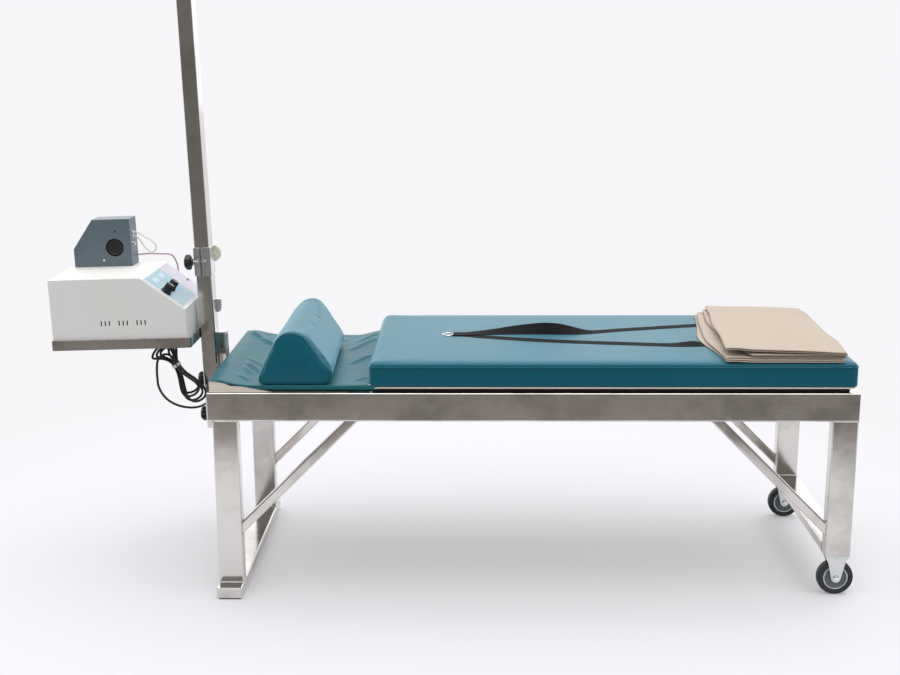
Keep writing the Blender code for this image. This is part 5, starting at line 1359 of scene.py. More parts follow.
@dataclass
class TubeFrame:
    """Rails, legs, braces, skid and their weld beads."""

    wall: float = 0.0015
    corner: float = 0.0045
    brace_size: float = 0.026
    bead: float = 0.0015
    bead_step: float = 0.0022
    beads: list[Surface] = field(default_factory=list)

    def tube(self, node: str, axis: int, finish: Finish, sealed: bool = False) -> None:
        """A finer tube in place of a CAD one."""
        low, high = box_of(node)
        surface = tube_between(low, high, axis, self.wall, self.corner, sealed)
        add_piece(f"{node}_tube", surface, finish, TABLE, (node,))

    def weld(self, loop: Array) -> None:
        """A bead round a closed loop, radius * (1 + 0.3 * sin(arc / ripple)), ground flush on the rails."""
        path = evenly(np.vstack([loop, loop[:1]]), self.bead_step)[:-1]
        path[:, 2] = np.minimum(path[:, 2], RAIL_HIGH[2] - 1.4 * self.bead)
        ripple = 1 + 0.3 * np.sin(np.arange(len(path)) * 2.1)
        self.beads.append(swept(path, self.bead * ripple, 8, closed=True))

    def loop_round(self, node: str, axis: int, level: float) -> None:
        """A bead round a tube at a level along its axis."""
        low, high = box_of(node)
        across = [i for i in range(3) if i != axis]
        size = (high - low)[across]
        outline = rounded_outline(size[0], size[1], self.corner) + ((low + high) / 2)[across]
        self.weld(raised(outline, axis, level))

    def brace(self, node: str, way: int) -> None:
        """A square tube at 45 degrees, cut along the leg's face and the rail's underside.

        Args:
            node: The CAD brace.
            way: 1 at the head end and -1 at the foot end.
        """
        low, high = box_of(node)
        reach = self.brace_size / math.sqrt(2)
        middle = (low[1] + high[1]) / 2
        foot = np.array((low[0] if way > 0 else high[0], middle, low[2] + reach))
        along = np.array((way, 0.0, 1.0)) / math.sqrt(2)
        upward = np.cross(along, (0.0, 1.0, 0.0))
        rings = []
        outer = (self.brace_size, self.corner, 1)
        inner = (self.brace_size - 2 * self.wall, self.corner - self.wall, -1)
        for size, radius, order in (outer, inner):
            outline = rounded_outline(size, size, radius)
            points = foot + outline[:, :1] * (0.0, 1.0, 0.0) + outline[:, 1:] * upward
            at_leg = points + (foot - points)[:, :1] / along[0] * along
            at_rail = points + (high - points)[:, 2:] / along[2] * along
            rings += [at_leg, at_rail][::order]
        finish = STEEL_RISING if way > 0 else STEEL_FALLING
        add_piece(f"{node}_tube", loft(np.stack(rings), closed=True), finish, TABLE, (node,))
        self.weld(rings[0])
        self.weld(rings[1])

    def build(self) -> None:
        """Make every tube and bead, and dress the rubber pad."""
        for end, _ in (side.value for side in End):
            self.tube(f"side_rail_{end}", 0, STEEL_X, sealed=True)
            for place in ("head", "foot"):
                self.tube(f"leg_{place}_{end}", 2, STEEL_Z)
                self.loop_round(f"leg_{place}_{end}", 2, RAIL_LOW[2])
            self.loop_round(f"leg_head_{end}", 2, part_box("foot_skid")[1].z)
            self.brace(f"brace_head_{end}", 1)
            self.brace(f"brace_foot_{end}", -1)
        for node in ("end_rail_head", "end_rail_foot", "caster_bar"):
            self.tube(node, 1, STEEL_Y)
            low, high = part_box(node)
            self.loop_round(node, 1, low.y)
            self.loop_round(node, 1, high.y)
        self.tube("foot_skid", 1, STEEL_Y, sealed=True)
        add_piece("weld_beads", merged(self.beads), WELD)
        softened("skid_pad", RUBBER, 0.0008)


# Casters


@dataclass
class Caster:
    """One fixed caster: fork, axle, wheel with its bright ring, and tyre."""

    end: End
    sides: int = 72
    tyre_depth: float = 0.0158
    ring_radius: float = 0.0322

    def build(self) -> None:
        """Make the caster's pieces round its axle."""
        name, _ = self.end.value
        body = f"wheel_{name}"
        low, high = box_of(f"caster_tyre_{name}")
        centre = (low + high) / 2
        outer = (high[0] - low[0]) / 2
        half = (high[1] - low[1]) / 2
        rim = outer - self.tyre_depth
        turn = np.linspace(0, 2 * math.pi, 40, endpoint=False)
        square = np.sign(np.cos(turn)) * np.abs(np.cos(turn)) ** 0.55
        rise = np.sign(np.sin(turn)) * np.abs(np.sin(turn)) ** 0.62
        section = np.stack([half * square, (outer + rim) / 2 + (outer - rim) / 2 * rise], axis=1)
        tyre = revolved(section, (0, 1, 0), centre, self.sides, closed=True)
        add_piece(f"tyre_{name}", tyre, TYRE, body, (f"caster_tyre_{name}",))
        face = [
            (0.0150, 0.0054), (0.0150, 0.0112), (0.0142, 0.0126), (0.0100, 0.0138),
            (0.0072, 0.0160), (0.0066, 0.0200), (0.0070, 0.0262), (0.0092, 0.0290),
            (0.0112, 0.0300), (0.0118, 0.0312), (0.0118, rim + 0.001),
        ]
        face = np.array(face)
        disc = revolved(np.vstack([face * (-1, 1), face[::-1]]), (0, 1, 0), centre, self.sides, closed=True)
        add_piece(f"wheel_disc_{name}", disc, WHEEL_GREY, body, (f"caster_wheel_{name}",))
        rings = []
        small = np.linspace(0, 2 * math.pi, 14, endpoint=False)
        for side in (-1, 1):
            level = side * 0.0122 + 0.0013 * np.cos(small)
            wire = np.stack([level, self.ring_radius + 0.0014 * np.sin(small)], axis=1)
            rings.append(revolved(wire, (0, 1, 0), centre, self.sides, closed=True))
        add_piece(f"wheel_ring_{name}", merged(rings), CHROME, body)
        low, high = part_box(f"caster_axle_{name}")
        reach = (high.y - low.y) / 2
        bolt = [
            (reach, 0.0), (reach, 0.0022), (reach - 0.0006, 0.0028), (reach - 0.0006, 0.0050),
            (reach - 0.0010, 0.0068), (reach - 0.0022, 0.0082), (reach - 0.0036, 0.0085),
            (reach - 0.0050, 0.0085), (reach - 0.0050, 0.0050),
        ]
        bolt = np.array(bolt)
        axle = revolved(np.vstack([bolt * (-1, 1), bolt[::-1]]), (0, 1, 0), centre, 40)
        add_piece(f"axle_bolt_{name}", axle, CHROME, TABLE, (f"caster_axle_{name}",))
        softened(f"caster_fork_{name}", ZINC, 0.0009)


# Deck


@dataclass
class Deck:
    """The mattress on its board and glides, the head board, the vinyl sheet and the bolster."""

    corner: float = 0.016
    edge: float = 0.012
    edge_drop: float = 0.0130
    crown: float = 0.0010
    skirt: float = 0.0042
    head_lap: float = 0.004
    foot_lap: float = 0.006
    rear_lap: float = 0.003
    corner_cord: float = 0.0011
    piping: float = 0.0012
    glide_setback: float = 0.012
    apex_radius: float = 0.050
    apex_offset: float = -0.007
    left_radius: float = 0.012
    right_radius: float = 0.024
    fullness: float = 1.03
    taper: float = 0.17
    sheet_thickness: float = 0.0016
    mattress_gap: float = 0.0032
    flap_drop: float = 0.029
    hem_slope: float = 0.187
    hem_radius: float = 0.0030
    hem_tail: float = 0.024
    folds: tuple[tuple[float, ...], ...] = (
        (-0.616, -0.042, -0.532, -0.173, 0.0090, 0.0080),
        (-0.612, -0.006, -0.536, -0.100, 0.0050, 0.0080),
        (-0.606, -0.097, -0.556, -0.198, 0.0075, 0.0070),
        (-0.590, -0.222, -0.546, -0.275, 0.0055, 0.0065),
        (-0.600, -0.123, -0.604, -0.265, 0.0050, 0.0080),
        (-0.636, 0.292, -0.590, 0.222, 0.0110, 0.0120),
        (-0.590, 0.222, -0.540, 0.160, 0.0110, 0.0120),
        (-0.500, 0.215, -0.330, 0.235, 0.0065, 0.0100),
        (-0.284, -0.077, -0.230, 0.012, 0.0085, 0.0085),
        (-0.306, 0.098, -0.232, 0.220, 0.0085, 0.0120),
        (-0.290, 0.215, -0.235, 0.285, 0.0060, 0.0120),
        (-0.252, -0.272, -0.226, -0.235, 0.0045, 0.0060),
    )

    def mattress(self) -> None:
        """A round-cornered slab: rings of its outline stacked from its base over its edges to its crown."""
        low, high = box_of("mattress")
        low -= (self.head_lap, 0.0, self.skirt)
        high += (self.foot_lap, self.rear_lap, 0.0)
        size = high - low
        middle = (low + high) / 2
        thick = size[2] - self.crown
        turn = np.linspace(0, math.pi / 2, 7)
        rim = self.edge * (1 - np.sin(turn))
        climb = self.edge_drop * (1 - np.cos(turn))
        inset = np.concatenate([[0.30, 0.2, 0.1], 0.25 * rim, rim[::-1], [0.07, 0.16, 0.30]])
        dome = thick + self.crown * np.array((0.45, 0.85, 1.0))
        level = np.concatenate([[0, 0, 0], 0.25 * climb, thick - climb[::-1], dome])
        rings = []
        for step, height in zip(inset, level):
            step = min(step, size[1] / 2 - 0.012)
            rear = 0.6 * min(step, self.edge)
            corner = max(self.corner - step, 0.006)
            outline = rounded_outline(size[0] - 2 * step, size[1] - 2 * step + rear, corner, 5)
            rings.append(raised(outline, 2, height) + (middle[0], middle[1] + rear / 2, low[2]))
        block = loft(np.stack(rings))
        piece = add_piece("mattress_cover", block, TEAL, "mattress", ("mattress",), ALL_SMOOTH)
        puffed(piece, voxel=0.0070, pressure=3.0, cap=0.0020, floor=low[2])
        self.corner_seams(low, high)

    def board(self) -> None:
        """The mattress's plywood base, as thick as shows below the cover's skirt."""
        low, high = box_of("mattress_board")
        middle = (low + high) / 2
        outline = rounded_outline(high[0] - low[0], high[1] - low[1], 0.010)
        plank = slab(outline, 2, low[2], high[2] - self.skirt, 0.0008).moved((*middle[:2], 0.0))
        add_piece("mattress_base", plank, PLY, "mattress", ("mattress_board",))

    def glide(self, end: str, way: int) -> None:
        """A black strip under the board, set back from the rail's outer face."""
        low, high = box_of(f"glide_strip_{end}")
        low[0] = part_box("mattress_board")[0].x + 0.002
        outer = 0 if way < 0 else 1
        (low, high)[outer][1] -= way * self.glide_setback
        middle = (low + high) / 2
        outline = rounded_outline(high[0] - low[0], high[1] - low[1], 0.002)
        strip = slab(outline, 2, low[2], high[2], 0.0008).moved((*middle[:2], 0.0))
        add_piece(f"glide_{end}", strip, BLACK, "mattress", (f"glide_strip_{end}",))

    def corner_seams(self, low: Array, high: Array) -> None:
        """Thin cords along the seams: up each corner of the mattress, and round it below its rounded edge.

        Args:
            low: Lowest corner of the mattress.
            high: Highest corner.
        """
        share = np.linspace(0, 1, 24)
        curl = 0.010 * np.clip((share - 0.8) / 0.2, 0, 1) ** 2
        lean = self.corner * (1 - math.sqrt(0.5)) + 0.0034 + curl
        z = low[2] + 0.012 + share * (high[2] - low[2] - 0.034)
        seams = []
        for x in (low[0] + lean, high[0] - lean):
            for y in (low[1] + lean, high[1] - lean):
                seams.append(swept(np.stack([x, y, z], axis=1), self.corner_cord, 8))
        middle = (low + high) / 2
        length, breadth = (high - low)[:2] - 0.0022
        outline = rounded_outline(length, breadth, self.corner + 0.005) + middle[:2]
        edge = evenly(raised(np.vstack([outline, outline[:1]]), 2, high[2] - self.edge_drop), 0.006)[:-1]
        seams.append(swept(edge, self.piping, 8, closed=True))
        add_piece("mattress_seams", merged(seams), TEAL, "mattress")

    def bolster_outline(self) -> Array:
        """Rounded triangle on its base line: three arcs joined by their common tangents, at even steps."""
        low, high = box_of("bolster")
        half = (high[0] - low[0]) / 2
        apex = np.array((self.apex_offset, high[2] - low[2] - self.apex_radius))
        right_foot = np.array((half - self.right_radius, self.right_radius))
        left_foot = np.array((self.left_radius - half, self.left_radius))
        rise = apex - right_foot
        spread = math.acos((self.right_radius - self.apex_radius) / math.hypot(*rise))
        right = math.atan2(rise[1], rise[0]) - spread
        rise = apex - left_foot
        spread = math.acos((self.left_radius - self.apex_radius) / math.hypot(*rise))
        left = math.atan2(rise[1], rise[0]) + spread
        arcs = (
            (right_foot, self.right_radius, -math.pi / 2, right),
            (apex, self.apex_radius, right, left),
            (left_foot, self.left_radius, left, 3 * math.pi / 2),
        )
        points = []
        for centre, radius, begin, finish in arcs:
            turn = np.linspace(begin, finish, 10)
            points.append(centre + radius * np.stack([np.cos(turn), np.sin(turn)], axis=1))
        loop = np.vstack(points + [points[0][:1]])
        return evenly(loop * (1.0, self.fullness), length_of(loop) / 96)[:-1]

    def slimmed(self, ring: Array, share: float) -> Array:
        """A ring with its right side drawn in towards the far end: x * (fullness - taper * share)."""
        return ring * np.where(ring > (0, np.inf), self.fullness - self.taper * share, 1.0)

    def bolster(self) -> None:
        """The bolster: its outline carried along Y, drawn in over round ends, then swollen by its foam."""
        low, high = box_of("bolster")
        outline = self.bolster_outline()
        heart = np.array((3 * self.apex_offset, 0.36 * (high[2] - low[2])))
        length = high[1] - low[1]
        turn = np.linspace(0, math.pi / 2, 6)
        depth = 0.019 * (1 - np.cos(turn))
        share = 1 - 0.20 * (1 - np.sin(turn)) ** 1.3
        depth = np.concatenate([[0.0, 0.0], depth])
        share = np.concatenate([[0.3, 0.6], share])
        depth = np.concatenate([depth, (length - depth)[::-1]])
        share = np.concatenate([share, share[::-1]])
        rings = []
        middle = (low[0] + high[0]) / 2
        for place, scale in zip(depth, share):
            ring = self.slimmed(heart + (outline - heart) * scale, place / length)
            rings.append(raised(ring, 1, place) + (middle, low[1], low[2]))
        piece = add_piece("bolster_cover", loft(np.stack(rings)), TEAL, "bolster", ("bolster",), ALL_SMOOTH)
        puffed(piece, voxel=0.0055, pressure=3.5, cap=0.0040, floor=low[2])
        seams = []
        for place in (0.0050, length - 0.0050):
            ring = self.slimmed(heart + (outline - heart) * 0.948, place / length)
            path = raised(ring, 1, place) + (middle, low[1], low[2])
            path[:, 2] = np.maximum(path[:, 2], low[2] + 0.0014)
            gather = 0.0006 * np.sin(np.arange(len(path)) * 2.4) * (path[:, 2] > high[2] - 0.05)
            path = path + gather[:, None] * (0, 1, 1)
            seams.append(swept(path, self.piping, 8, closed=True))
        add_piece("bolster_seams", merged(seams), TEAL, "bolster")

    def fold_height(self, x: Array, y: Array) -> Array:
        """Slack folds, each a rounded ridge along a line: height * exp(-(distance / width)2)."""
        folds = np.array(self.folds)
        start = folds[:, None, None, 0:2]
        run = folds[:, None, None, 2:4] - start
        offset = np.stack([x, y], axis=-1)[None] - start
        share = np.clip((offset * run).sum(-1) / (run * run).sum(-1), 0, 1)
        apart = np.linalg.norm(offset - share[..., None] * run, axis=-1)
        taper = np.sin(math.pi * np.clip(0.08 + 0.84 * share, 0, 1)) ** 0.7
        ridges = folds[:, None, None, 4] * taper * np.exp(-((apart / folds[:, None, None, 5]) ** 2))
        return ridges.max(axis=0)

    def sheet(self) -> None:
        """The vinyl sheet: a side view carried across Y, with a hem over the front edge and slack folds."""
        board_low, board_high = box_of("head_board")
        _, cad_high = box_of("deck_sheet")
        bolster_low, bolster_high = box_of("bolster")
        clear = GAP + self.sheet_thickness / 2
        start = board_low[0]
        top = board_high[2] + clear + 0.0006
        level = bolster_low[2] - 0.0006 - self.sheet_thickness / 2
        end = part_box("mattress")[0].x - self.mattress_gap
        side = np.array(
            (
                (start - clear - 0.0006, top - self.flap_drop),
                (start - clear - 0.0006, top - 0.014), (start - clear - 0.0002, top - 0.003),
                (start + 0.0012, top - 0.0002), (start + 0.006, top), (start + 0.032, top),
                (start + 0.064, top - 0.0075), (start + 0.100, level + 0.0015),
                (start + 0.135, level), (start + 0.200, level), (start + 0.300, level),
                (end - 0.060, level), (end - 0.030, level), (end, level),
            )
        )
        side = smooth_path(side, 0.0035)
        side[:, 1] = np.where(side[:, 0] > start + 0.062, np.maximum(side[:, 1], level), side[:, 1])
        front = board_low[1] - clear
        back = cad_high[1]
        x = side[:, :1]
        lower = np.maximum(top - 0.0005 - self.hem_slope * (x - start), RAIL_HIGH[2] + 0.001)
        drop = np.where(x > start + 0.002, np.maximum(side[:, 1:] - lower, 0.003), 0.003)
        share = np.linspace(1, 0, 12)[None, :-1]
        out = share * drop
        bend = np.minimum(out / self.hem_radius, math.pi / 2)
        hem_y = front + self.hem_radius - self.hem_radius * np.sin(bend)
        hem_z = -self.hem_radius * (1 - np.cos(bend)) - np.maximum(0.0, out - self.hem_radius * math.pi / 2)
        tail = self.hem_tail * smoothstep((x - end + 0.05) / 0.05) * smoothstep((share + 0.05) / 0.30)
        across = np.linspace(front + self.hem_radius, back, 110)
        wander = 0.004 * np.sin(23 * x) + 0.003 * np.sin(51 * x + 1)
        ease = smoothstep((across - across[0]) / (back - across[0]))[None]
        y = np.concatenate([hem_y, across + ease * wander], axis=1)
        z = np.concatenate([hem_z, np.zeros((len(side), len(across)))], axis=1) + side[:, 1:]
        fold = self.fold_height(x + 0 * y, y)
        under = smoothstep((x - bolster_low[0] + 0.012) / 0.014)
        under = under * smoothstep((bolster_high[0] + 0.012 - x) / 0.014)
        under = under * smoothstep((bolster_high[1] + 0.014 - y) / 0.016)
        batten = smoothstep((x - start - 0.052) / 0.03)
        batten = np.maximum(batten, smoothstep((y - 0.15) / 0.05) * smoothstep((x - start - 0.004) / 0.02))
        rim = smoothstep((y - front - 0.006) / 0.03)
        z = z + 0.75 * fold * (1 - under) * batten * (0.35 + 0.65 * rim)
        far = smoothstep((y - across[0]) / (back - across[0]))
        z = z + (0.001 + 0.011 * far) * smoothstep((x - end + 0.085) / 0.08)
        along = np.concatenate([x + tail, x + 0 * across], axis=1)
        grid = np.stack([along, y, z], axis=-1)
        piece = add_piece("vinyl_sheet", sheet_of(grid), SHEET, "", ("deck_sheet",), ALL_SMOOTH)
        add_modifier(piece, "SOLIDIFY", thickness=self.sheet_thickness, offset=0.0)
        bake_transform(piece)

    def build(self) -> None:
        """Make the deck."""
        self.mattress()
        self.bolster()
        self.sheet()
        softened("head_board", PLY, 0.0012)
        self.board()
        for end, way in (side.value for side in End):
            self.glide(end, way)


# Harness


@dataclass
class Harness:
    """The folded canvas, its webbing straps and their steel ring."""

    layers: int = 7
    cloth: float = 0.0022
    fold_bulge: float = 0.0065
    opening: float = 0.070
    skew: float = 0.034
    spread: float = 0.036
    strap_width: float = 0.042
    strap_thickness: float = 0.0022
    left_steps: tuple[float, ...] = (0.000, 0.003, 0.008, 0.004, 0.010, 0.005, 0.006)
    right_steps: tuple[float, ...] = (0.014, 0.016, 0.008, 0.010, 0.004, 0.005, 0.000)
    front_steps: tuple[float, ...] = (0.002, 0.004, 0.010, 0.013, 0.007, 0.002, 0.000)
    rear_line: tuple[Point, ...] = (
        (0.005, 0.018, 0.0), (0.050, 0.022, 0.0), (0.090, 0.031, 0.07), (0.150, 0.036, 0.30),
        (0.200, 0.037, 0.50), (0.250, 0.036, 0.66), (0.285, 0.034, 0.72), (0.330, 0.033, 0.62),
        (0.378, 0.037, 0.32), (0.418, 0.048, 0.07), (0.460, 0.064, 0.0), (0.510, 0.082, 0.0),
        (0.620, 0.113, 0.0), (0.700, 0.135, 0.0), (0.752, 0.149, 0.0),
    )
    front_line: tuple[Point, ...] = (
        (0.005, 0.017, 0.0), (0.050, 0.010, 0.0), (0.103, -0.012, 0.0), (0.200, -0.042, 0.0),
        (0.290, -0.065, 0.0), (0.400, -0.085, 0.0), (0.489, -0.098, 0.0), (0.580, -0.112, 0.0),
        (0.636, -0.120, 0.03), (0.672, -0.121, 0.13), (0.700, -0.119, 0.18), (0.724, -0.117, 0.06),
        (0.742, -0.114, 0.0),
    )

    def fold_path(self, low: Array, high: Array) -> tuple[Array, Array]:
        """Side view of the folded canvas: straight layers joined by half-round folds.

        Args:
            low: Lowest corner of the CAD pad.
            high: Highest corner.

        Returns:
            Points (x, z) along the cloth and the layer that each belongs to, as a running number.
        """
        pitch = (high[2] - low[2] - self.cloth) / (self.layers - 1) * 0.93
        points = []
        number = []
        for layer in range(self.layers):
            left = low[0] - 0.002 + self.left_steps[layer]
            right = high[0] + 0.005 - self.right_steps[layer]
            ends = (left, right) if layer % 2 == 0 else (right, left)
            run = np.linspace(*ends, 60)
            level = low[2] + self.cloth / 2 + layer * pitch
            points.append(np.stack([run, np.full(60, level)], axis=1))
            number.append(np.full(60, float(layer)))
            if layer + 1 < self.layers:
                turn = np.linspace(0, math.pi, 12)[1:-1]
                way = 1 if layer % 2 == 0 else -1
                outward = run[-1] + way * self.fold_bulge * np.sin(turn)
                upward = level + pitch / 2 * (1 - np.cos(turn))
                points.append(np.stack([outward, upward], axis=1))
                number.append(layer + turn / math.pi)
        return np.vstack(points), np.concatenate(number)

    def canvas(self) -> None:
        """The folded side view carried across Y, each layer with its own front edge and creases."""
        low, high = box_of("harness_pad")
        path, layer = self.fold_path(low, high)
        share = np.linspace(0, 1, 90)
        steps = np.arange(self.layers)
        front = low[1] - 0.013 + np.interp(layer, steps, self.front_steps)
        back = high[1] + 0.016 - np.interp(layer, steps, self.front_steps[::-1])
        y = front[:, None] + (back - front)[:, None] * share
        x = path[:, :1] + 0 * y
        tier = layer[:, None] / (self.layers - 1)
        near_left = np.clip((high[0] - 0.03 - x) / (high[0] - low[0] - 0.03), 0, 1)
        x = x + near_left * (share**2 * 0.014 + share * 0.032 * tier) + 0.0022 * np.sin(19 * y + 5 * tier)
        front_left = near_left * (1 - share) ** 3
        inner = np.clip(1.5 - np.abs(layer[:, None] - 3.5), 0, 1)
        lid = smoothstep((tier - 0.70) / 0.12)
        x = x + self.opening * inner * front_left
        y = y + 0.018 * lid * front_left
        edge = np.minimum(share, 1 - share) * (high[1] - low[1])
        droop = 0.0022 * tier * np.exp(-((edge / 0.05) ** 2))
        belly = 0.0030 * tier * np.sin(math.pi * np.clip((x - low[0]) / (high[0] - low[0]), 0, 1)) ** 0.6
        ripple = 0.0007 * np.sin(31 * y + 9 * x + 4 * tier) * np.sin(17 * x + 2) * (0.4 + tier)
        far_right = share * np.clip((x - low[0]) / (high[0] - low[0]), 0, 1)
        x = x + 0.010 * far_right
        y = y - self.skew * far_right
        bulge = self.spread * np.exp(-(((y + 0.03) / 0.21) ** 2)) * np.clip(1 - tier * 1.7, 0, 1)
        x = x - bulge * np.clip(1 - (x - low[0]) / 0.12, 0, 1)
        over_straps = 0.0027 * smoothstep((low[0] + 0.07 - x) / 0.05)
        lift = 0.004 * share * tier + 0.006 * lid * front_left
        z = path[:, 1:] + belly - droop + ripple + over_straps + lift
        grid = np.stack([x, y, np.maximum(z, low[2] + self.cloth / 2)], axis=-1)
        size = flat_size(grid)
        finish = Canvas("tan_canvas", (0.525, 0.435, 0.345), (size[1], size[0]))
        piece = add_piece("folded_canvas", sheet_of(grid), finish, "harness", ("harness_pad",), ALL_SMOOTH)
        add_modifier(piece, "SOLIDIFY", thickness=self.cloth, offset=0.0)

    def strap(self, line: tuple[Point, ...], floor: float, over: float) -> Surface:
        """A flat band along a line on the mattress, tilted up on its edge where the line says so.

        Args:
            line: Points of x, y and tilt, 0 flat and 1 on edge.
            floor: Height of what it lies on.
            over: Extra height near the ring, where it lies on the other band.

        Returns:
            The band, closed all round, with u along it and v across it.
        """
        route = smooth_path(np.array(line), 0.005)
        tilt = np.arcsin(np.clip(route[:, 2], 0, 0.995))
        centre = np.stack([route[:, 0], route[:, 1], np.zeros(len(route))], axis=1)
        along = np.gradient(centre, axis=0)
        along /= np.linalg.norm(along, axis=1, keepdims=True)
        level = np.cross((0.0, 0.0, 1.0), along)
        up = np.array((0.0, 0.0, 1.0))
        across = np.cos(tilt)[:, None] * level + np.sin(tilt)[:, None] * up
        proud = np.cross(along, across)
        near = over * (1 - smoothstep((route[:, 0] - 0.05) / 0.10))
        centre[:, 2] = floor + self.strap_thickness / 2 + near + np.sin(tilt) * self.strap_width / 2
        half = np.array((self.strap_width / 2, self.strap_thickness / 2))
        outline = rounded_outline(2 * half[0], 2 * half[1], 0.9 * half[1], 3)
        rings = centre[:, None] + outline[:, :1] * across[:, None] + outline[:, 1:] * proud[:, None]
        surface = loft(rings)
        v, u = np.meshgrid(np.append(outline[:, 0], outline[0, 0]) + half[0], travelled(centre))
        return replace(surface, corners=corner_uv(u, v))

    def straps(self) -> None:
        """Both bands, the sewn lap at the ring and its two rows of stitches."""
        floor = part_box("harness_pad")[0].z
        finish = Webbing("webbing", (0.0075, 0.0072, 0.0085), self.strap_width)
        rear = self.strap(self.rear_line, floor, self.strap_thickness)
        add_piece("rear_strap", rear, finish, "harness", ("harness_straps",))
        add_piece("front_strap", self.strap(self.front_line, floor, 0.0), finish, "harness")
        ring_low, ring_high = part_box("harness_ring")
        middle = (ring_low.y + ring_high.y) / 2
        x = ring_high.x + np.linspace(0.003, 0.050, 22)
        stitches = []
        for offset in (-0.012, 0.012):
            wave = 0.0005 * np.sin(np.arange(len(x)) * 2.6)
            lap = floor + 2 * self.strap_thickness + 0.0003
            line = np.stack([x, middle + offset + 0 * x, lap + wave], axis=1)
            stitches.append(swept(line, 0.0006, 6))
        thread = Moulded("webbing", (0.11, 0.11, 0.12), 0.7, 900.0)
        add_piece("strap_stitches", merged(stitches), thread, "harness")

    def ring(self) -> None:
        """A D-shaped ring lying flat: a half circle closed by a straight bar, swept with round wire."""
        low, high = box_of("harness_ring")
        wire = (high[2] - low[2]) / 2
        reach = (high[1] - low[1]) / 2 - wire
        middle = (low + high) / 2
        turn = np.linspace(math.radians(62), math.radians(298), 60)
        bow = np.stack([reach * np.cos(turn), reach * np.sin(turn)], axis=1)
        bow[:, 0] += low[0] + wire + reach - middle[0]
        across = np.linspace(-0.75, 0.75, 9) * reach
        bar = np.stack([np.full(9, high[0] - wire - middle[0]), across], axis=1)
        path = raised(np.vstack([bow, bar]), 2, 0.0) + middle
        loop = swept(path, wire * 0.92, 14, closed=True)
        add_piece("strap_ring", loop, CHROME, "harness", ("harness_ring",))

    def build(self) -> None:
        """Make the harness."""
        self.canvas()
        self.straps()
        self.ring()


# Mast

KNOB_LENGTH = 0.0239


def star_knob(name: str, node: str, stud_radius: float) -> None:
    """A six-lobed knob with a domed face, and its threaded stud, along the mast frame's X axis.

    Args:
        name: The knob's name.
        node: The CAD knob that it stands for, and the body of that name.
        stud_radius: Radius of the stud.
    """
    low, high = box_of(node)
    axis = MAST.axes[:, 0]
    across = (low[1] + high[1]) / 2
    points = coordinates(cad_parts[node].data)
    along = (points - MAST.origin) @ axis
    centre = MAST.origin + axis * along.min()
    middle = points[along < along.min() + 0.022].mean(axis=0)
    centre = centre + MAST.axes[:, 2] * ((middle - centre) @ MAST.axes[:, 2])
    centre[1] = across
    profile = [
        (0.0010, 0.0000, 0.0), (0.0010, 0.0048, 0.0), (0.0003, 0.0056, 0.0), (0.0003, 0.0072, 0.0),
        (0.0000, 0.0100, 0.0), (0.0008, 0.0150, 0.0010), (0.0028, 0.0190, 0.0028),
        (0.0060, 0.0215, 0.0042), (0.0100, 0.0225, 0.0046), (0.0150, 0.0222, 0.0046),
        (0.0180, 0.0208, 0.0038), (0.0196, 0.0180, 0.0022), (0.0202, 0.0130, 0.0),
        (0.0202, 0.0100, 0.0), (KNOB_LENGTH, 0.0098, 0.0), (KNOB_LENGTH, 0.0000, 0.0),
    ]
    knob = revolved(profile, axis, centre, 96, flutes=6)
    add_piece(f"{name}_grip", knob, BLACK, node, (node,))
    reach = np.linspace(KNOB_LENGTH, along.max() - along.min(), 90)
    thread = stud_radius - 0.0006 * (np.arange(90) % 2)
    add_piece(f"{name}_stud", revolved(np.stack([reach, thread], axis=1), axis, centre, 20), ZINC, node)


@dataclass
class Mast:
    """The mast, its stay, the knobs, and the pulley collar."""

    breadth: float = 0.044
    depth: float = 0.060
    left: float = -0.0683
    foot: float = -0.1055
    length: float = 1.320
    pulley_sides: int = 72

    def upright(self) -> None:
        """A round-cornered tube closed at the top: its outline drawn along the mast's own Z axis."""
        outline = rounded_outline(self.breadth, self.depth, 0.005)
        tube = slab(outline, 2, self.foot, self.foot + self.length, 0.0015)
        tube = tube.moved((self.left + self.breadth / 2, 0, 0))
        add_piece("mast_tube", placed(tube, MAST), STEEL_Z, TABLE, ("mast",))

    def pulley(self) -> None:
        """A grooved nylon wheel: rounded flanges and a round groove turned about Y."""
        low, high = box_of("pulley")
        centre = (low + high) / 2
        outer = (high[0] - low[0]) / 2
        half = (high[1] - low[1]) / 2
        turn = np.linspace(0, math.pi, 12)
        groove = np.stack([0.0052 * np.cos(turn), outer - 0.0006 - 0.0054 * np.sin(turn)], axis=1)
        rim = [(half, 0.0044), (half, 0.009), (half - 0.0016, 0.0100), (half - 0.0016, outer - 0.006)]
        rim += [(half - 0.0004, outer - 0.004), (half - 0.0004, outer - 0.0014), (half - 0.0016, outer)]
        rim = np.array(rim)
        profile = np.vstack([rim, groove, rim[::-1] * (-1, 1)])
        wheel = revolved(profile, (0, 1, 0), centre, self.pulley_sides, closed=True)
        add_piece("pulley_wheel", wheel, NYLON, "pulley", ("pulley",))

    def build(self) -> None:
        """Make the mast and what it carries."""
        self.upright()
        softened("mast_stay", STEEL_Z, 0.0008)
        softened("rope_guide", GALVANISED, 0.0012)
        softened("pulley_collar", CHROME, 0.0004, "collar")
        self.pulley()
        star_knob("upper_mast_knob", "upper_knob", 0.005)
        star_knob("lower_mast_knob", "lower_knob", 0.005)
        star_knob("clamp_knob", "collar_knob", 0.004)


# Traction unit


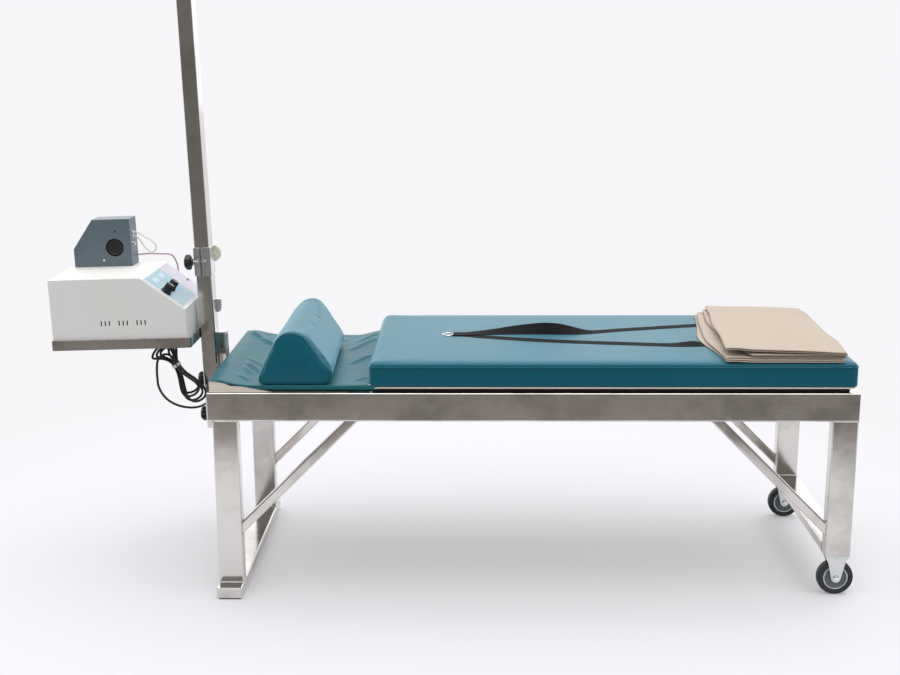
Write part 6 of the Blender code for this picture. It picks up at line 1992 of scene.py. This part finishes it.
@dataclass
class Unit:
    """The tray, the control case with its panel, and the traction head."""

    slope: float = math.atan2(0.0925, 0.122)
    slope_middle: Point = (-0.1413, 0.0, 0.32505)
    panel_half: Pair = (0.0696, 0.143)
    dial_spots: tuple[Pair, ...] = ((0.0034, -0.120), (0.0034, -0.064))
    head_right: float = -0.2773
    relief_length: float = 0.024

    @property
    def panel(self) -> Place:
        """The panel's frame: X down the slope, Z out of it."""
        return MAST.within(self.slope_middle, self.slope)

    def dial(self, name: str, node: str) -> None:
        """A fluted dial with a skirt and a white pointer line, turned about the panel's normal."""
        panel = self.panel
        points = coordinates(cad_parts[node].data) - panel.origin
        rise = points @ panel.axes[:, 2]
        down = (points @ panel.axes[:, 0]).mean()
        across = points[:, 1].mean()
        base = 0.0028
        top = rise.max() - base
        profile = [
            (0.0, 0.0000, 0.0), (0.0, 0.0148, 0.0), (0.0008, 0.0155, 0.0), (0.0034, 0.0152, 0.0),
            (0.0042, 0.0138, 0.0), (0.0046, 0.0132, 0.0007), (0.0060, 0.0130, 0.0010),
            (0.6 * top, 0.0126, 0.0010), (top - 0.0022, 0.0122, 0.0009),
            (top - 0.0008, 0.0114, 0.0004), (top - 0.0002, 0.0100, 0.0), (top, 0.0080, 0.0),
            (top - 0.0003, 0.0, 0.0),
        ]
        centre = panel.world((down, across, base))
        knob = revolved(profile, panel.axes[:, 2], centre, 108, flutes=18)
        add_piece(f"{name}_cap", knob, BLACK, node, (node,))
        bar = slab(rounded_outline(0.0115, 0.0016, 0.0006), 2, top - 0.0004, top + 0.0002, 0.0002)
        pointer = placed(bar.moved((0.0052, 0, 0)), Place(centre, panel.axes))
        add_piece(f"{name}_pointer", pointer, WHITE, node)

    def button(self) -> None:
        """A small domed button turned about the panel's normal."""
        panel = self.panel
        points = coordinates(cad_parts["start_button"].data) - panel.origin
        low = (points @ panel.axes[:, 2]).min()
        high = (points @ panel.axes[:, 2]).max()
        down = (points @ panel.axes[:, 0]).mean()
        centre = panel.world((down, points[:, 1].mean(), 0.0))
        profile = [(low, 0.0), (low, 0.0045), (high - 0.0012, 0.0045)]
        profile += [(high - 0.0004, 0.0040), (high, 0.0028), (high, 0.0)]
        cap = revolved(profile, panel.axes[:, 2], centre, 40)
        add_piece("start_button_cap", cap, GREY, "start_button", ("start_button",))

    def fittings(self) -> None:
        """Small things on the traction head, each a short profile turned about the normal of its face."""
        side = MAST.axes[:, 0]
        front = (0.0, -1.0, 0.0)
        face = self.head_right
        dome = [(0.0, 0.0036), (0.0012, 0.0034), (0.0019, 0.0024)]
        dome += [(0.0019, 0.0010), (0.0010, 0.0008), (0.0010, 0.0)]
        screw = revolved(dome, front, MAST.world((-0.3610, 0.0725, 0.3902)), 24)
        add_piece("head_screw", screw, WHITE)
        neck = [(0.0, 0.0065), (0.0016, 0.0065), (0.0018, 0.0048)]
        neck += [(0.0070, 0.0048), (0.0084, 0.0036), (0.0088, 0.0)]
        add_piece("head_bolt", revolved(neck, side, MAST.world((face, 0.0950, 0.4352)), 24), CHROME)
        lip = [(0.0, 0.0033), (0.0026, 0.0033), (0.0030, 0.0040)]
        lip += [(0.0026, 0.0052), (0.0010, 0.0058), (0.0, 0.0058)]
        _, across, level = Cords.rope_exit
        spots = [MAST.world((face, across, level + drop)) for drop in (0.0, Cords.rope_route[-1][1])]
        bushings = [revolved(lip, side, spot, 28, closed=True) for spot in spots]
        add_piece("rope_bushings", merged(bushings), WHITE)
        plug = np.array([(0.0, 1.0), (0.08, 0.94), (0.08, 0.0)]) * 0.0030
        holes = [
            revolved(plug, front, MAST.world((-0.3221, 0.0725, 0.4757)), 24),
            revolved(plug, side, MAST.world((face, 0.1200, 0.4930)), 24),
        ]
        add_piece("head_hole_plugs", merged(holes), BLACK)

    def winch_cap(self) -> None:
        """The drum's black cap: a stepped disc turned about Y."""
        low, high = box_of("drum_cap")
        centre = np.array(((low[0] + high[0]) / 2, low[1], (low[2] + high[2]) / 2))
        radius = (high[0] - low[0]) / 2
        profile = [
            (0.0012, 0.0), (0.0012, 0.0030), (0.0000, 0.0036), (0.0000, 0.0080), (0.0008, 0.0086),
            (0.0008, 0.0180), (0.0000, 0.0190), (0.0000, radius - 0.0020),
            (0.0010, radius - 0.0004), (0.0022, radius),
            (high[1] - low[1], radius),
            (high[1] - low[1], 0.0),
        ]
        add_piece("winch_cap", revolved(profile, (0, 1, 0), centre, 72), BLACK, "drum", ("drum_cap",))

    def gland(self) -> None:
        """The ribbed strain relief under the tray, turned about the mast's Z axis."""
        points = (coordinates(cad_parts["cord_gland"].data) - MAST.origin) @ MAST.axes
        middle = points[:, :2].mean(axis=0)
        low, high = points[:, 2].min(), points[:, 2].max()
        share = np.linspace(0, 1, 29)
        taper = 0.0050 + 0.0020 * share + 0.0005 * (np.arange(29) % 4 < 2)
        tail = np.stack([low + share * self.relief_length, taper], axis=1)
        flange = low + self.relief_length
        seat = flange + 0.003
        rest = [(flange, 0.0100), (seat, 0.0100), (seat, 0.0070), (high, 0.0070), (high, 0.0)]
        profile = np.vstack([((low, 0.0),), tail, rest])
        surface = revolved(profile, MAST.axes[:, 2], MAST.world((middle[0], middle[1], 0.0)), 36)
        add_piece("cord_relief", surface, BLACK, TABLE, ("cord_gland",))

    def build(self) -> None:
        """Make the unit."""
        softened("tray", STEEL_X, 0.0006)
        softened("control_case", CASE_WHITE, 0.0012)
        softened("head_case", HEAD_GREY, 0.0012)
        panel = self.panel
        film = PanelFilm(
            "panel_film",
            (0.5, 0.5, 0.5),
            tuple(map(float, panel.origin)),
            tuple(map(float, panel.axes[:, 0])),
            self.panel_half,
            self.dial_spots,
        )
        softened("control_panel", film, 0.0005)
        self.dial("force", "force_dial")
        self.dial("time", "time_dial")
        self.button()
        self.fittings()
        self.winch_cap()
        self.gland()
        dress_node("signal_plug", GREY)
        dress_node("power_supply", GREY)
        dress_node("gear_motor", ZINC)
        dress_node("rope_drum", ZINC)


def main() -> None:
    """Build the studio, the cords and then each sub-assembly in order."""
    logging.basicConfig(level=logging.INFO, format="%(message)s")
    Studio().build()
    Cords().build()
    TubeFrame().build()
    for end in End:
        Caster(end).build()
    Deck().build()
    Harness().build()
    Mast().build()
    Unit().build()


if __name__ == "__main__":
    main()
